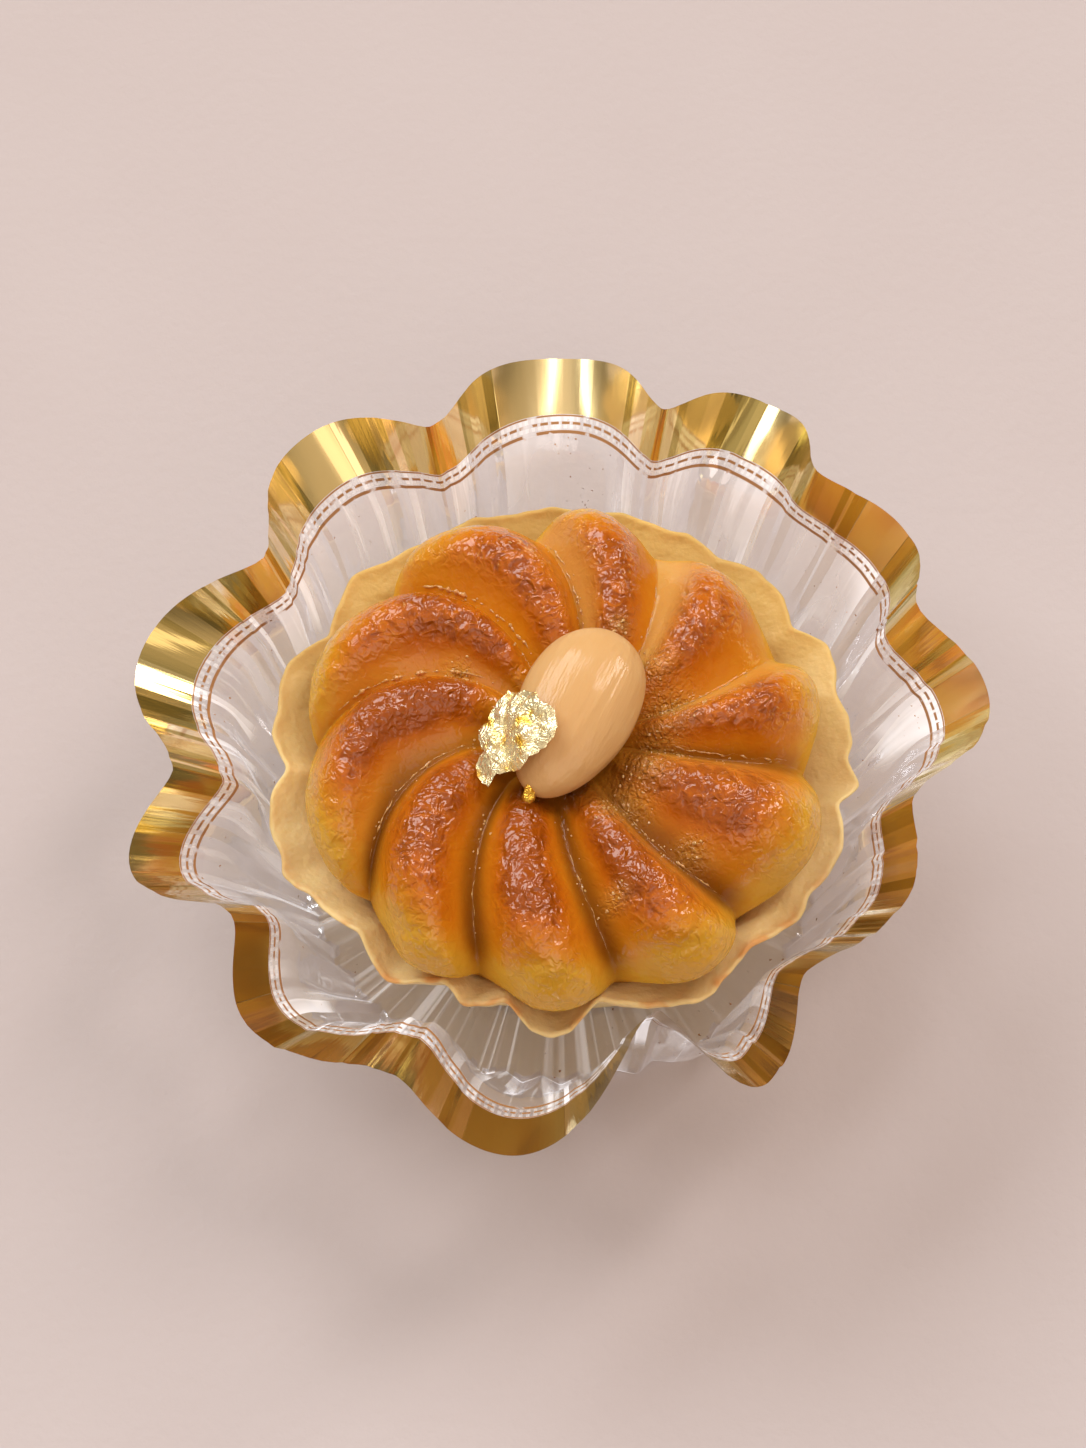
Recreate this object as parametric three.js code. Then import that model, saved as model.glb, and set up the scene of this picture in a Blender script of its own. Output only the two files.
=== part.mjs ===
// Almond pastry in a clear film cup with a gold band: a fluted dough shell filled with almond paste that
// is scored into ten swirling petals, with one blanched almond and a scrap of gold leaf on top.
// Millimetres, +Z up. The origin is the middle of the cup's flat underside, and -Y is the near side.
import * as THREE from "three";

// Space kept between neighbouring pieces
const GAP = 0.3;

// Film cup, pressed from a flat disc: flat base, pleated wall, ruffled rim
const FILM = 0.4;
const CUP_BASE_RADIUS = 29.6;
const CUP_WALL_SLANT = 28;
const CUP_BAND_WIDTH = 6.8;
const CUP_PLEATS = 44;
const COLUMNS_PER_PLEAT = 4;
// The wall stays straight up to here, and turns out into the band above it
const CUP_BEND_START = 19.6;
// Length of each step that is walked up the film
const SLANT_STEP = 0.5;
// Distance up the film from the base's edge, and how far the pleats stand out there
const CUP_ROWS = [
  { slant: 0, pleat: 0.9 },
  { slant: 10, pleat: 1.4 },
  { slant: CUP_BEND_START, pleat: 1.3 },
  { slant: 24, pleat: 1.0 },
  { slant: CUP_WALL_SLANT, pleat: 0.6 },
  { slant: CUP_WALL_SLANT + CUP_BAND_WIDTH, pleat: 0.2 },
];
// Valleys and crests of the ruffle in turn, each with its azimuth, and the lean of the wall and of the
// gold band up from level, all in degrees
const CUP_RUFFLE = [
  { azimuth: -173, wall: 80, band: 42 },
  { azimuth: -161, wall: 64, band: 39 },
  { azimuth: -147, wall: 77, band: 55 },
  { azimuth: -133, wall: 65, band: 46 },
  { azimuth: -115, wall: 81, band: 30 },
  { azimuth: -97, wall: 66, band: 36 },
  { azimuth: -74, wall: 83, band: 74 },
  { azimuth: -63, wall: 71, band: 41 },
  { azimuth: -49, wall: 81, band: 60 },
  { azimuth: -30, wall: 75, band: 57 },
  { azimuth: -15, wall: 80, band: 64 },
  { azimuth: 4, wall: 66, band: 49 },
  { azimuth: 19, wall: 75, band: 62 },
  { azimuth: 30, wall: 66, band: 61 },
  { azimuth: 46, wall: 69, band: 74 },
  { azimuth: 62, wall: 69, band: 16 },
  { azimuth: 73, wall: 80, band: 58 },
  { azimuth: 89, wall: 68, band: 9 },
  { azimuth: 112, wall: 81, band: 64 },
  { azimuth: 127, wall: 71, band: 33 },
  { azimuth: 150, wall: 80, band: 70 },
  { azimuth: 169, wall: 71, band: 26 },
];
// Over 0 this makes the crests broad and the valleys narrow
const CUP_CREST_BREADTH = 0.36;

// Dough shell: outer radius, height over its underside and depth of the flutes, from the foot to the rim
const SHELL_BOTTOM = FILM + GAP;
const SHELL_THICKNESS = 1.1;
const SHELL_FLOOR = 1.6;
const SHELL_FLUTES = 23;
const SHELL_FLUTE_AZIMUTH = 174;
const COLUMNS_PER_FLUTE = 6;
const SHELL_OUTSIDE = [
  { radius: 22.6, height: 0, flute: 0.3 },
  { radius: 25.3, height: 6.3, flute: 0.5 },
  { radius: 27.9, height: 12.8, flute: 0.7 },
  { radius: 29.9, height: 17.3, flute: 0.85 },
  { radius: 31.7, height: 19.7, flute: 1.0 },
];
// The flutes are deeper on the near side than the far side by this share of their depth
const FLUTE_NEAR_SHARE = 0.3;
// The near rim is pressed in where the cup's deepest valley touches it
const PINCH_AZIMUTH = -74;
const PINCH_WIDTH = 8;
const PINCH_DEPTH = 1.5;

// Petals of almond paste. Each row gives the groove on the petal's clockwise side, by its azimuth at the
// rim and near the almond and by how late it bends, and how far the petal stands out over the common profile
const PETALS = [
  { outer: -137, inner: -170, bend: 1.5, reach: 0.3, rise: -0.2 },
  { outer: -107, inner: -134, bend: 1.0, reach: 0.7, rise: -0.3 },
  { outer: -76, inner: -95, bend: 0.7, reach: 0.7, rise: 0.0 },
  { outer: -43, inner: -57, bend: 1.7, reach: 0.4, rise: 0.2 },
  { outer: -3, inner: -13, bend: 2.0, reach: -0.2, rise: 0.1 },
  { outer: 28, inner: 10, bend: 1.3, reach: -1.1, rise: 0.0 },
  { outer: 69, inner: 38, bend: 0.8, reach: 0.0, rise: 0.2 },
  { outer: 99, inner: 74, bend: 0.9, reach: 0.2, rise: 0.3 },
  { outer: 138, inner: 113, bend: 1.4, reach: -0.3, rise: 0.2 },
  { outer: 181, inner: 144, bend: 1.2, reach: -0.1, rise: 0.4 },
];
// A groove runs from its inner to its outer azimuth between these radii
const GROOVE_INNER_RADIUS = 8;
const GROOVE_OUTER_RADIUS = 28.5;
const PETAL_ROUNDNESS = 0.55;
const COLUMNS_PER_PETAL = 10;
// Rows from the middle of the top, over the shoulder and down inside the shell to the paste's underside:
// radius and height of the crest of a petal, and of the groove beside it
const PASTE_ROWS = [
  { crest: [4.0, 28.0], groove: [4.0, 27.4] },
  { crest: [8.0, 29.9], groove: [8.0, 28.3] },
  { crest: [11.0, 31.4], groove: [11.0, 28.8] },
  { crest: [14.5, 32.3], groove: [14.2, 28.8] },
  { crest: [18.0, 32.6], groove: [17.4, 28.5] },
  { crest: [21.2, 32.4], groove: [20.4, 27.9] },
  { crest: [24.2, 31.4], groove: [23.0, 26.8] },
  { crest: [26.8, 29.4], groove: [25.0, 25.3] },
  { crest: [28.6, 26.8], groove: [26.2, 23.6] },
  { crest: [29.3, 24.0], groove: [26.8, 21.8] },
  { crest: [28.3, 21.6], groove: [26.6, 20.4] },
  { crest: [26.4, 18.0], groove: [26.0, 18.0] },
  { crest: [24.8, 13.2], groove: [24.8, 13.2] },
  { crest: [22.5, 6.8], groove: [22.5, 6.8] },
  { crest: [20.4, 2.6], groove: [20.4, 2.6] },
];
const PASTE_MIDDLE_HEIGHT = 27.2;
// A petal's own reach and rise come in over these heights and radii, so the paste in the shell stays round
const REACH_HEIGHTS = [18, 24];
const REACH_RADII = [18, 28];
const RISE_RADII = [6, 14];

// Blanched almond, lying across the middle with its narrow end to the near left
const ALMOND_LENGTH = 20.6;
const ALMOND_WIDTH = 13.4;
const ALMOND_THICKNESS = 8.8;
const ALMOND_NARROWING = 0.16;
const ALMOND_CENTRE = new THREE.Vector3(1.4, 0.3, 32.7);
const ALMOND_AZIMUTH = 65;
const ALMOND_TILT = 4;
const ALMOND_COLUMNS = 16;
const ALMOND_RINGS = 11;

// Gold leaf, draped over the almond's narrow end
const LEAF_THICKNESS = 0.3;
const LEAF_CENTRE = new THREE.Vector2(-4.9, -3.5);
const LEAF_RADIUS = 4.2;
const LEAF_CRUMPLE = 0.35;
// Waves of the crumple: how fast each runs along X and along Y, in radians per millimetre
const LEAF_FOLDS = [
  [1.9, 0.6],
  [-0.9, 2.3],
  [1.3, 0],
];
// Waves of the torn edge: how many go round, and the share of the radius that each stands out
const LEAF_TEARS = [
  [2, 0.1],
  [5, 0.08],
  [9, 0.04],
];
const LEAF_LOWEST = 31.8;
const LEAF_COLUMNS = 20;
const LEAF_RINGS = 5;

const COLOURS = {
  cup: { color: 0xd8b25a, roughness: 0.25, metalness: 0.6 },
  shell: { color: 0xd9be84, roughness: 0.7, metalness: 0 },
  paste: { color: 0xc47420, roughness: 0.35, metalness: 0 },
  almond: { color: 0xdcb27a, roughness: 0.4, metalness: 0 },
  leaf: { color: 0xe6c04e, roughness: 0.3, metalness: 1 },
};

const radians = THREE.MathUtils.degToRad;
const lerp = THREE.MathUtils.lerp;

// Rises smoothly from 0 to 1 as value goes from start to end
function ease(value, start, end) {
  return THREE.MathUtils.smoothstep(value, start, end);
}

// A closed solid through rings of points, with one point as its pole at either end. The rings start at
// the underside, come up outside and close over the top or the inside.
function ringSolid(columns, firstPole, rings, lastPole) {
  const points = [firstPole, ...rings.flat(), lastPole];
  const faces = [];
  const at = (ring, column) => 1 + ring * columns + (column % columns);
  for (let column = 0; column < columns; column++) {
    faces.push(0, at(0, column + 1), at(0, column));
    for (let ring = 0; ring + 1 < rings.length; ring++) {
      faces.push(at(ring, column), at(ring, column + 1), at(ring + 1, column + 1));
      faces.push(at(ring, column), at(ring + 1, column + 1), at(ring + 1, column));
    }
    const last = rings.length - 1;
    faces.push(points.length - 1, at(last, column), at(last, column + 1));
  }
  const geometry = new THREE.BufferGeometry().setFromPoints(points);
  geometry.setIndex(faces);
  geometry.computeVertexNormals();
  return geometry;
}

function cylindrical(radius, azimuth, height) {
  return new THREE.Vector3(radius * Math.cos(azimuth), radius * Math.sin(azimuth), height);
}

function ringOf(columns, pointAt) {
  return Array.from({ length: columns }, (_, column) => pointAt(column));
}

function namedMesh(name, geometry, colours) {
  const mesh = new THREE.Mesh(geometry, new THREE.MeshStandardMaterial(colours));
  mesh.name = name;
  return mesh;
}

// Wall and band lean at an azimuth in degrees, eased between the ruffle's neighbouring marks
function ruffleAt(azimuth) {
  const first = CUP_RUFFLE[0];
  const turned = first.azimuth + THREE.MathUtils.euclideanModulo(azimuth - first.azimuth, 360);
  const closed = [...CUP_RUFFLE, { ...first, azimuth: first.azimuth + 360 }];
  const next = closed.findIndex((mark) => mark.azimuth > turned);
  const from = closed[next - 1];
  const to = closed[next];
  const share = ease(turned, from.azimuth, to.azimuth);
  const climbing = next % 2 === 1;
  const [valley, crest] = climbing ? [from, to] : [to, from];
  const even = climbing ? share : 1 - share;
  const outward = even + CUP_CREST_BREADTH * even * (1 - even);
  return { wall: lerp(valley.wall, crest.wall, outward), band: lerp(valley.band, crest.band, outward) };
}

// Radius, height and lean of the film at each row of the cup, found by walking up its slant
function filmProfile(azimuth) {
  const { wall, band } = ruffleAt(azimuth);
  const profile = [];
  let radius = CUP_BASE_RADIUS;
  let height = FILM / 2;
  let slant = 0;
  for (const row of CUP_ROWS) {
    const steps = Math.ceil((row.slant - slant) / SLANT_STEP);
    for (let i = 0; i < steps; i++) {
      const length = (row.slant - slant) / (steps - i);
      const turned = ease(slant + length / 2, CUP_BEND_START, CUP_WALL_SLANT);
      const lean = radians(lerp(wall, band, turned));
      radius += length * Math.cos(lean);
      height += length * Math.sin(lean);
      slant += length;
    }
    const bend = ease(slant, CUP_BEND_START, CUP_WALL_SLANT);
    profile.push({ radius, height, lean: radians(lerp(wall, band, bend)), pleat: row.pleat });
  }
  return profile;
}

function makeCup() {
  const columns = CUP_PLEATS * COLUMNS_PER_PLEAT;
  const outside = CUP_ROWS.map(() => []);
  const inside = CUP_ROWS.map(() => []);
  for (let column = 0; column < columns; column++) {
    const azimuth = (2 * Math.PI * column) / columns;
    const fold = (1 + Math.cos(azimuth * CUP_PLEATS)) / 2;
    filmProfile(THREE.MathUtils.radToDeg(azimuth)).forEach((film, row) => {
      const atBase = row === 0;
      const alongRadius = atBase ? 1 : Math.sin(film.lean);
      const alongHeight = atBase ? 0 : -Math.cos(film.lean);
      const place = (offset) => {
        const out = fold * film.pleat + offset;
        const height = atBase ? FILM / 2 - offset : film.height + out * alongHeight;
        return cylindrical(film.radius + out * alongRadius, azimuth, height);
      };
      outside[row].push(place(FILM / 2));
      inside[row].push(place(-FILM / 2));
    });
  }
  const rings = [...outside, ...inside.reverse()];
  return ringSolid(columns, new THREE.Vector3(0, 0, 0), rings, new THREE.Vector3(0, 0, FILM));
}

// How far the shell's wall stands in or out at an azimuth in radians, for flutes of a depth
function fluteAt(azimuth, flute) {
  const nearness = 1 - FLUTE_NEAR_SHARE * Math.sin(azimuth);
  const wave = nearness * Math.cos(SHELL_FLUTES * (azimuth - radians(SHELL_FLUTE_AZIMUTH)));
  const turn = THREE.MathUtils.radToDeg(azimuth) - PINCH_AZIMUTH;
  const away = THREE.MathUtils.euclideanModulo(turn + 180, 360) - 180;
  const pinch = Math.exp(-((away / PINCH_WIDTH) ** 2)) * PINCH_DEPTH;
  const rimShare = flute / SHELL_OUTSIDE.at(-1).flute;
  return flute * wave - pinch * rimShare ** 2;
}

function makeShell() {
  const columns = SHELL_FLUTES * COLUMNS_PER_FLUTE;
  const start = radians(SHELL_FLUTE_AZIMUTH);
  const ring = (radius, height, flute) =>
    ringOf(columns, (column) => {
      const azimuth = start + (2 * Math.PI * column) / columns;
      return cylindrical(radius + fluteAt(azimuth, flute), azimuth, SHELL_BOTTOM + height);
    });
  const outside = SHELL_OUTSIDE.map(({ radius, height, flute }) => ring(radius, height, flute));
  const inside = SHELL_OUTSIDE.map(({ radius, height, flute }) =>
    ring(radius - SHELL_THICKNESS, Math.max(height + SHELL_THICKNESS / 3, SHELL_FLOOR), flute),
  );
  const rings = [...outside, ...inside.reverse()];
  const middle = (height) => new THREE.Vector3(0, 0, SHELL_BOTTOM + height);
  return ringSolid(columns, middle(0), rings, middle(SHELL_FLOOR));
}

// Azimuth in radians of a groove, where inner and outer are its ends in degrees
function grooveAzimuth({ inner, outer, bend }, radius) {
  const span = GROOVE_OUTER_RADIUS - GROOVE_INNER_RADIUS;
  const share = THREE.MathUtils.clamp((radius - GROOVE_INNER_RADIUS) / span, 0, 1);
  return radians(lerp(inner, outer, share ** bend));
}

// Height of the dent that the almond presses in the paste, or Infinity beside the almond
function dentHeight(x, y) {
  const axis = radians(ALMOND_AZIMUTH);
  const east = x - ALMOND_CENTRE.x;
  const north = y - ALMOND_CENTRE.y;
  const along = east * Math.cos(axis) + north * Math.sin(axis);
  const across = north * Math.cos(axis) - east * Math.sin(axis);
  const alongShare = along / (ALMOND_LENGTH / 2 + 2 * GAP);
  const acrossShare = across / (ALMOND_WIDTH / 2 + 2 * GAP);
  const inside = 1 - alongShare ** 2 - acrossShare ** 2;
  if (inside <= 0) return Infinity;
  const drop = (ALMOND_THICKNESS / 2 + 2 * GAP) * Math.sqrt(inside);
  return ALMOND_CENTRE.z + along * Math.tan(radians(ALMOND_TILT)) - drop;
}

// A point of the paste: row of the profile, petal, and place across the petal from -1 to 1
function pastePoint({ crest, groove }, petal, across) {
  const { reach, rise } = PETALS[petal];
  const bump = (1 - across ** 2) ** PETAL_ROUNDNESS;
  const radius = lerp(groove[0], crest[0], bump);
  const height = lerp(groove[1], crest[1], bump);
  const shoulder = bump * ease(height, ...REACH_HEIGHTS);
  const stretched = radius + shoulder * reach * ease(radius, ...REACH_RADII);
  const raised = height + shoulder * rise * ease(radius, ...RISE_RADII);
  const right = grooveAzimuth(PETALS[petal], stretched);
  const nextPetal = PETALS[(petal + 1) % PETALS.length];
  const left = grooveAzimuth(nextPetal, stretched) + (petal + 1 === PETALS.length ? 2 * Math.PI : 0);
  const point = cylindrical(stretched, lerp(right, left, (across + 1) / 2), raised);
  point.z = Math.min(point.z, dentHeight(point.x, point.y));
  return point;
}

function makePaste() {
  const columns = PETALS.length * COLUMNS_PER_PETAL;
  const upward = [...PASTE_ROWS].reverse();
  const rings = upward.map((row) =>
    ringOf(columns, (column) => {
      const petal = Math.floor(column / COLUMNS_PER_PETAL);
      const place = (column % COLUMNS_PER_PETAL) / COLUMNS_PER_PETAL;
      return pastePoint(row, petal, -Math.cos(Math.PI * place));
    }),
  );
  const underside = PASTE_ROWS.at(-1).crest[1];
  const top = Math.min(PASTE_MIDDLE_HEIGHT, dentHeight(0, 0));
  return ringSolid(columns, new THREE.Vector3(0, 0, underside), rings, new THREE.Vector3(0, 0, top));
}

// Share of the almond's full girth at a place from -1, its narrow end, to 1
function almondGirth(place) {
  return Math.sqrt(1 - place ** 2) * (1 + ALMOND_NARROWING * place) * (1 - ALMOND_NARROWING / 4);
}

function makeAlmond() {
  const rings = Array.from({ length: ALMOND_RINGS }, (_, ring) => {
    const place = -Math.cos((Math.PI * (ring + 1)) / (ALMOND_RINGS + 1));
    const girth = almondGirth(place);
    return ringOf(ALMOND_COLUMNS, (column) => {
      const turn = (2 * Math.PI * column) / ALMOND_COLUMNS;
      const x = (girth * Math.cos(turn) * ALMOND_THICKNESS) / 2;
      const y = (girth * Math.sin(turn) * ALMOND_WIDTH) / 2;
      return new THREE.Vector3(x, y, (place * ALMOND_LENGTH) / 2);
    });
  });
  const end = ALMOND_LENGTH / 2;
  const firstPole = new THREE.Vector3(0, 0, -end);
  const lastPole = new THREE.Vector3(0, 0, end);
  return ringSolid(ALMOND_COLUMNS, firstPole, rings, lastPole);
}

// Height of the almond's top at a place, or -Infinity beside it
function almondTop(x, y) {
  const mirrored = dentHeight(x, y);
  if (mirrored === Infinity) return -Infinity;
  const axis = radians(ALMOND_AZIMUTH);
  const along = (x - ALMOND_CENTRE.x) * Math.cos(axis) + (y - ALMOND_CENTRE.y) * Math.sin(axis);
  return 2 * (ALMOND_CENTRE.z + along * Math.tan(radians(ALMOND_TILT))) - mirrored;
}

// Underside of the leaf: it follows the almond's top, rests over the petals beside it, and is crumpled
function leafHeight(x, y) {
  const rest = Math.max(almondTop(x, y), LEAF_LOWEST);
  const [long, cross, fine] = LEAF_FOLDS.map(([alongX, alongY]) => Math.sin(alongX * x + alongY * y));
  return rest + GAP + LEAF_CRUMPLE * (1 + (long + cross * fine) / 2);
}

function makeLeaf() {
  const level = (ring, lift) =>
    ringOf(LEAF_COLUMNS, (column) => {
      const turn = (2 * Math.PI * column) / LEAF_COLUMNS;
      const torn = LEAF_TEARS.reduce((sum, [times, share]) => sum + share * Math.cos(times * turn), 1);
      const radius = (LEAF_RADIUS * torn * ring) / LEAF_RINGS;
      const x = LEAF_CENTRE.x + radius * Math.cos(turn);
      const y = LEAF_CENTRE.y + radius * Math.sin(turn);
      return new THREE.Vector3(x, y, leafHeight(x, y) + lift);
    });
  const order = Array.from({ length: LEAF_RINGS }, (_, ring) => ring + 1);
  const bottom = order.map((ring) => level(ring, 0));
  const top = order.map((ring) => level(ring, LEAF_THICKNESS)).reverse();
  const middle = (lift) =>
    new THREE.Vector3(LEAF_CENTRE.x, LEAF_CENTRE.y, leafHeight(LEAF_CENTRE.x, LEAF_CENTRE.y) + lift);
  return ringSolid(LEAF_COLUMNS, middle(0), [...bottom, ...top], middle(LEAF_THICKNESS));
}

const pastry = new THREE.Group();
pastry.add(namedMesh("case", makeCup(), COLOURS.cup));
pastry.add(namedMesh("pastry_shell", makeShell(), COLOURS.shell));
pastry.add(namedMesh("almond_paste", makePaste(), COLOURS.paste));

const almond = namedMesh("almond", makeAlmond(), COLOURS.almond);
const lying = new THREE.Euler(0, radians(90 - ALMOND_TILT), radians(ALMOND_AZIMUTH), "ZYX");
almond.rotation.copy(lying);
almond.position.copy(ALMOND_CENTRE);
pastry.add(almond);

pastry.add(namedMesh("gold_leaf", makeLeaf(), COLOURS.leaf));

export default pastry;
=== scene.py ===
"""Almond pastry in a ruffled film cup with a gold band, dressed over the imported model.

Lengths are in millimetres and angles in degrees until a mesh is made. The near side is -Y.
"""

import math

import bpy
import numpy as np
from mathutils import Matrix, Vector, noise
from mathutils.bvhtree import BVHTree


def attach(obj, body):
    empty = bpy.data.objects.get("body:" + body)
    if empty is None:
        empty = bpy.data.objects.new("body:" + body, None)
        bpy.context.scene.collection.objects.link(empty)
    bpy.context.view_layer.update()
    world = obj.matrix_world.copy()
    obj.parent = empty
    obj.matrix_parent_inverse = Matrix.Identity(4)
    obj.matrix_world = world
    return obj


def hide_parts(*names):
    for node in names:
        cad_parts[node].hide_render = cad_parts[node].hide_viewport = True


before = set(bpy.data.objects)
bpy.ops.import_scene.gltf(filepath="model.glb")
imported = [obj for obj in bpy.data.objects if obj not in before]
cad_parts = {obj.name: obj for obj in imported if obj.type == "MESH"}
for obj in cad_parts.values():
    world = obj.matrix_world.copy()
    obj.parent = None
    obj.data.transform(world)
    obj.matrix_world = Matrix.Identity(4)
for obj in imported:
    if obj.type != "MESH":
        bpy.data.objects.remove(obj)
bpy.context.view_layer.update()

MM = 0.001
TURN = 2 * math.pi
RANDOM_SEED = 7
chance = np.random.default_rng(RANDOM_SEED)
# A closed end is drawn in to this share of its width
PINCH = 0.02

# Film cup, as in the solids: flat base, pleated wall, ruffled rim. A slant is a distance up the film.
FILM_BASE_HEIGHT = 0.2
CUP_BASE_RADIUS = 29.6
CUP_WALL_SLANT = 28.0
CUP_BAND_WIDTH = 6.8
CUP_BEND_START = 19.6
CUP_PLEATS = 44
CUP_CREST_BREADTH = 0.36
# Slant up the film, and how far the folds stand out there
CUP_FOLD_DEPTHS = ((0, 0.9), (10, 1.4), (19.6, 1.3), (24, 1.0), (28, 0.8), (34.8, 0.6))
# Valleys and crests of the ruffle in turn: azimuth, lean of the wall and of the band up from level
CUP_RUFFLE = (
    (-173, 80, 42), (-161, 64, 39), (-147, 77, 55), (-133, 65, 46), (-115, 81, 30),
    (-97, 66, 36), (-74, 83, 74), (-63, 71, 41), (-49, 81, 60), (-30, 75, 57),
    (-15, 80, 64), (4, 66, 49), (19, 75, 62), (30, 66, 61), (46, 69, 74),
    (62, 69, 16), (73, 80, 58), (89, 68, 9), (112, 81, 64), (127, 71, 33),
    (150, 80, 70), (169, 71, 26),
)
# Rows of the film's mesh: rings of its base as shares of the radius, then slants
BASE_RINGS = (PINCH, 0.25, 0.5, 0.75, 0.9, 0.97)
BASE_SLANT = -1.0
FOOT_SLANTS = (0, 0.2, 0.4, 0.7, 1.1, 1.6)
WALL_START = 2.2
FILM_ROW_STEP = 0.6
BAND_ROWS = 13
PROFILE_AZIMUTH_STEP = 0.5
PROFILE_SLANT_STEP = 0.1
# The folds wander off their even spacing by up to this share of it at the rim
FOLD_WANDER = 0.4
# Each fold has a narrow face of its own, this wide at the rim as a share of the spacing
FOLD_FACE = (0.14, 0.42)
# The face lies this high between valley and crest, and falls by up to this much
FACE_HEIGHTS = (0.25, 0.75)
FACE_FALL = 0.5
# So many of the folds are flat, and fall by this share of that
FLAT_FOLDS = 0.35
FLAT_FOLD_FALL = 0.1
# Slants over which the even folds of the foot pass into those of the rim, and their gloss with them
FOLDS_CHANGE = (8, 24)
GLINTS_CHANGE = (10, 18)
# Smooth stretches of the rim: azimuth of start and end, and how pale the gold is painted there, as a
# painted reflection
FLAT_STRETCHES = (
    (-148, -138, 0.28), (-104, -90, 0.25), (-52, -46, 0.2), (2, 9, 0.95),
    (30, 38, 1.0), (53, 60, 0.75), (79, 98, 0.74), (124, 133, 0.64),
)
# How much of the foil's fine relief is left on them
SMOOTH_RELIEF = 0.15
# Between two faces the film is creased once more: where on the way, how far, and how many aren't
CREASE_PLACES = (0.3, 0.7)
CREASE_HEIGHT = 0.22
FLAT_CREASES = 0.45
# Creases are rounded over this share of the way between them
FOLD_SHARPNESS = 0.03
# How strong the film's milky streaks and their painted glow are round the cup: azimuth and share
MILKY_GLOW_ROUND_CUP = (
    (-180, 0.7), (-150, 1.1), (-105, 1.6), (-72, 1.2), (-50, 0.3), (-15, 0.3),
    (3, 1.2), (15, 0.7), (35, 1.2), (60, 0.9), (90, 1.1), (120, 1.2),
    (150, 0.8), (165, 1.0),
)
# Radial streaks in film and foil are counted on a circle of this radius
STREAK_RADIUS = 38.0
# Print under the band, from slant to slant: lines, dashes between them, and rows of beads
PRINT_LINES = ((25.6, 26.04), (27.72, 27.95))
DASHED_LINE = (26.74, 27.1)
BEAD_ROWS = ((26.2, 26.7), (27.15, 27.75))
DASHES_ROUND_CUP = 211.0
BEADS_ROUND_CUP = 352.0
PRINT_SOFTNESS = 0.05
# The fold at the film's foot, where a highlight is painted along the near side
FOOT_GLINT = (0.06, 0.3)
# Gold of the band from a dark facet to a bright one: painted reflections, dark for the dim room and pale
# for the lamps and ceiling
FOIL_REFLECTION_STOPS = (
    (0.0, "8E8046"),
    (0.25, "C2AC64"),
    (0.45, "E0CA88"),
    (0.7, "F6DEA2"),
    (0.85, "FFE0AC"),
    (1.0, "FFF4DC"),
)

# Dough shell
SHELL_BOTTOM = 0.7
SHELL_THICKNESS = 1.1
SHELL_FLOOR = 1.6
SHELL_COLUMNS = 720
SHELL_ROWS = 26
# Outer radius, height and flute depth, from the foot to the rim
SHELL_OUTSIDE = (
    (22.6, 0.0, 0.3),
    (25.3, 6.3, 0.5),
    (28.1, 12.8, 0.7),
    (30.6, 17.3, 0.9),
    (31.7, 19.7, 1.0),
)
# Over the rim and down the ledge that meets the paste: inset from the rim, lift over it, flute share,
# toasted share
SHELL_LEDGE = (
    (0.0, 0.12, 1.0, 0.9),
    (0.12, 0.24, 1.0, 1.0),
    (0.35, 0.26, 1.0, 1.0),
    (0.6, 0.14, 0.98, 0.8),
    (0.9, -0.1, 0.94, 0.4),
    (1.5, -0.4, 0.85, 0.1),
    (2.3, -0.75, 0.7, 0.0),
    (3.2, -1.1, 0.5, 0.0),
    (4.2, -1.6, 0.35, 0.0),
    (5.2, -2.3, 0.3, 0.0),
    (6.0, -3.4, 0.3, 0.0),
)
SHELL_INNER_FLUTES = 0.3
# The outside is toasted near the rim, and the whole rim most on the near side
SHELL_TOASTED_HEIGHTS = (18, 19.7)
SHELL_WALL_TOAST = 0.5
SHELL_FAR_TOAST = 0.1
SHELL_TOAST_NEARNESS = (4, 24)
# Bumps and dips of the rim in turn: azimuth, and how far out, as a share of the flute depth
SHELL_FLUTES = (
    (-178.3, -1.4), (-173, 0.5), (-167.5, 1.4), (-162, 0.9), (-157, 1.6),
    (-150.4, 0.1), (-136.3, -1.5), (-127, 0.4), (-115.2, -2.3), (-109.8, -0.8),
    (-101.6, -2.3), (-95.5, 0.2), (-92, 0.6), (-88.5, 0.3), (-82.5, -2.7),
    (-62, 0.4), (-47, -1.5), (-35.6, 0.3), (-30, -0.3), (-24.4, 0.5),
    (-16.3, 0.9), (-9.3, -0.6), (-4.5, 1.5), (0.4, 0.2), (4.4, 0.7),
    (10.4, 0.8), (15.8, 0.2), (20, 1.3), (26.7, 1.6), (32.7, -0.8),
    (38.3, 1), (48.7, 1), (55, -0.4), (63, 0.8), (69, 0),
    (77, 0.8), (84, -0.2), (92, 0.7), (99, -0.1), (108, 0.8),
    (117, -0.2), (124, 0.5), (128, 0.1), (136, 1.5), (141.6, 0.2),
    (149.2, -1.1), (158, 1.5), (163, 1.4), (168.9, 0.2), (173.7, 1),
)
FLUTE_SOFTNESS = 1.3
# The rim is uneven up and down and in and out, and on the near side it sags where it stands out
SHELL_UNEVEN_HEIGHTS = (8, 19)
SHELL_SWAY = 0.5
SHELL_SWELL = 0.01
SHELL_SAG = 0.7
SHELL_SAG_NEARNESS = (-8, 16)

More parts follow.
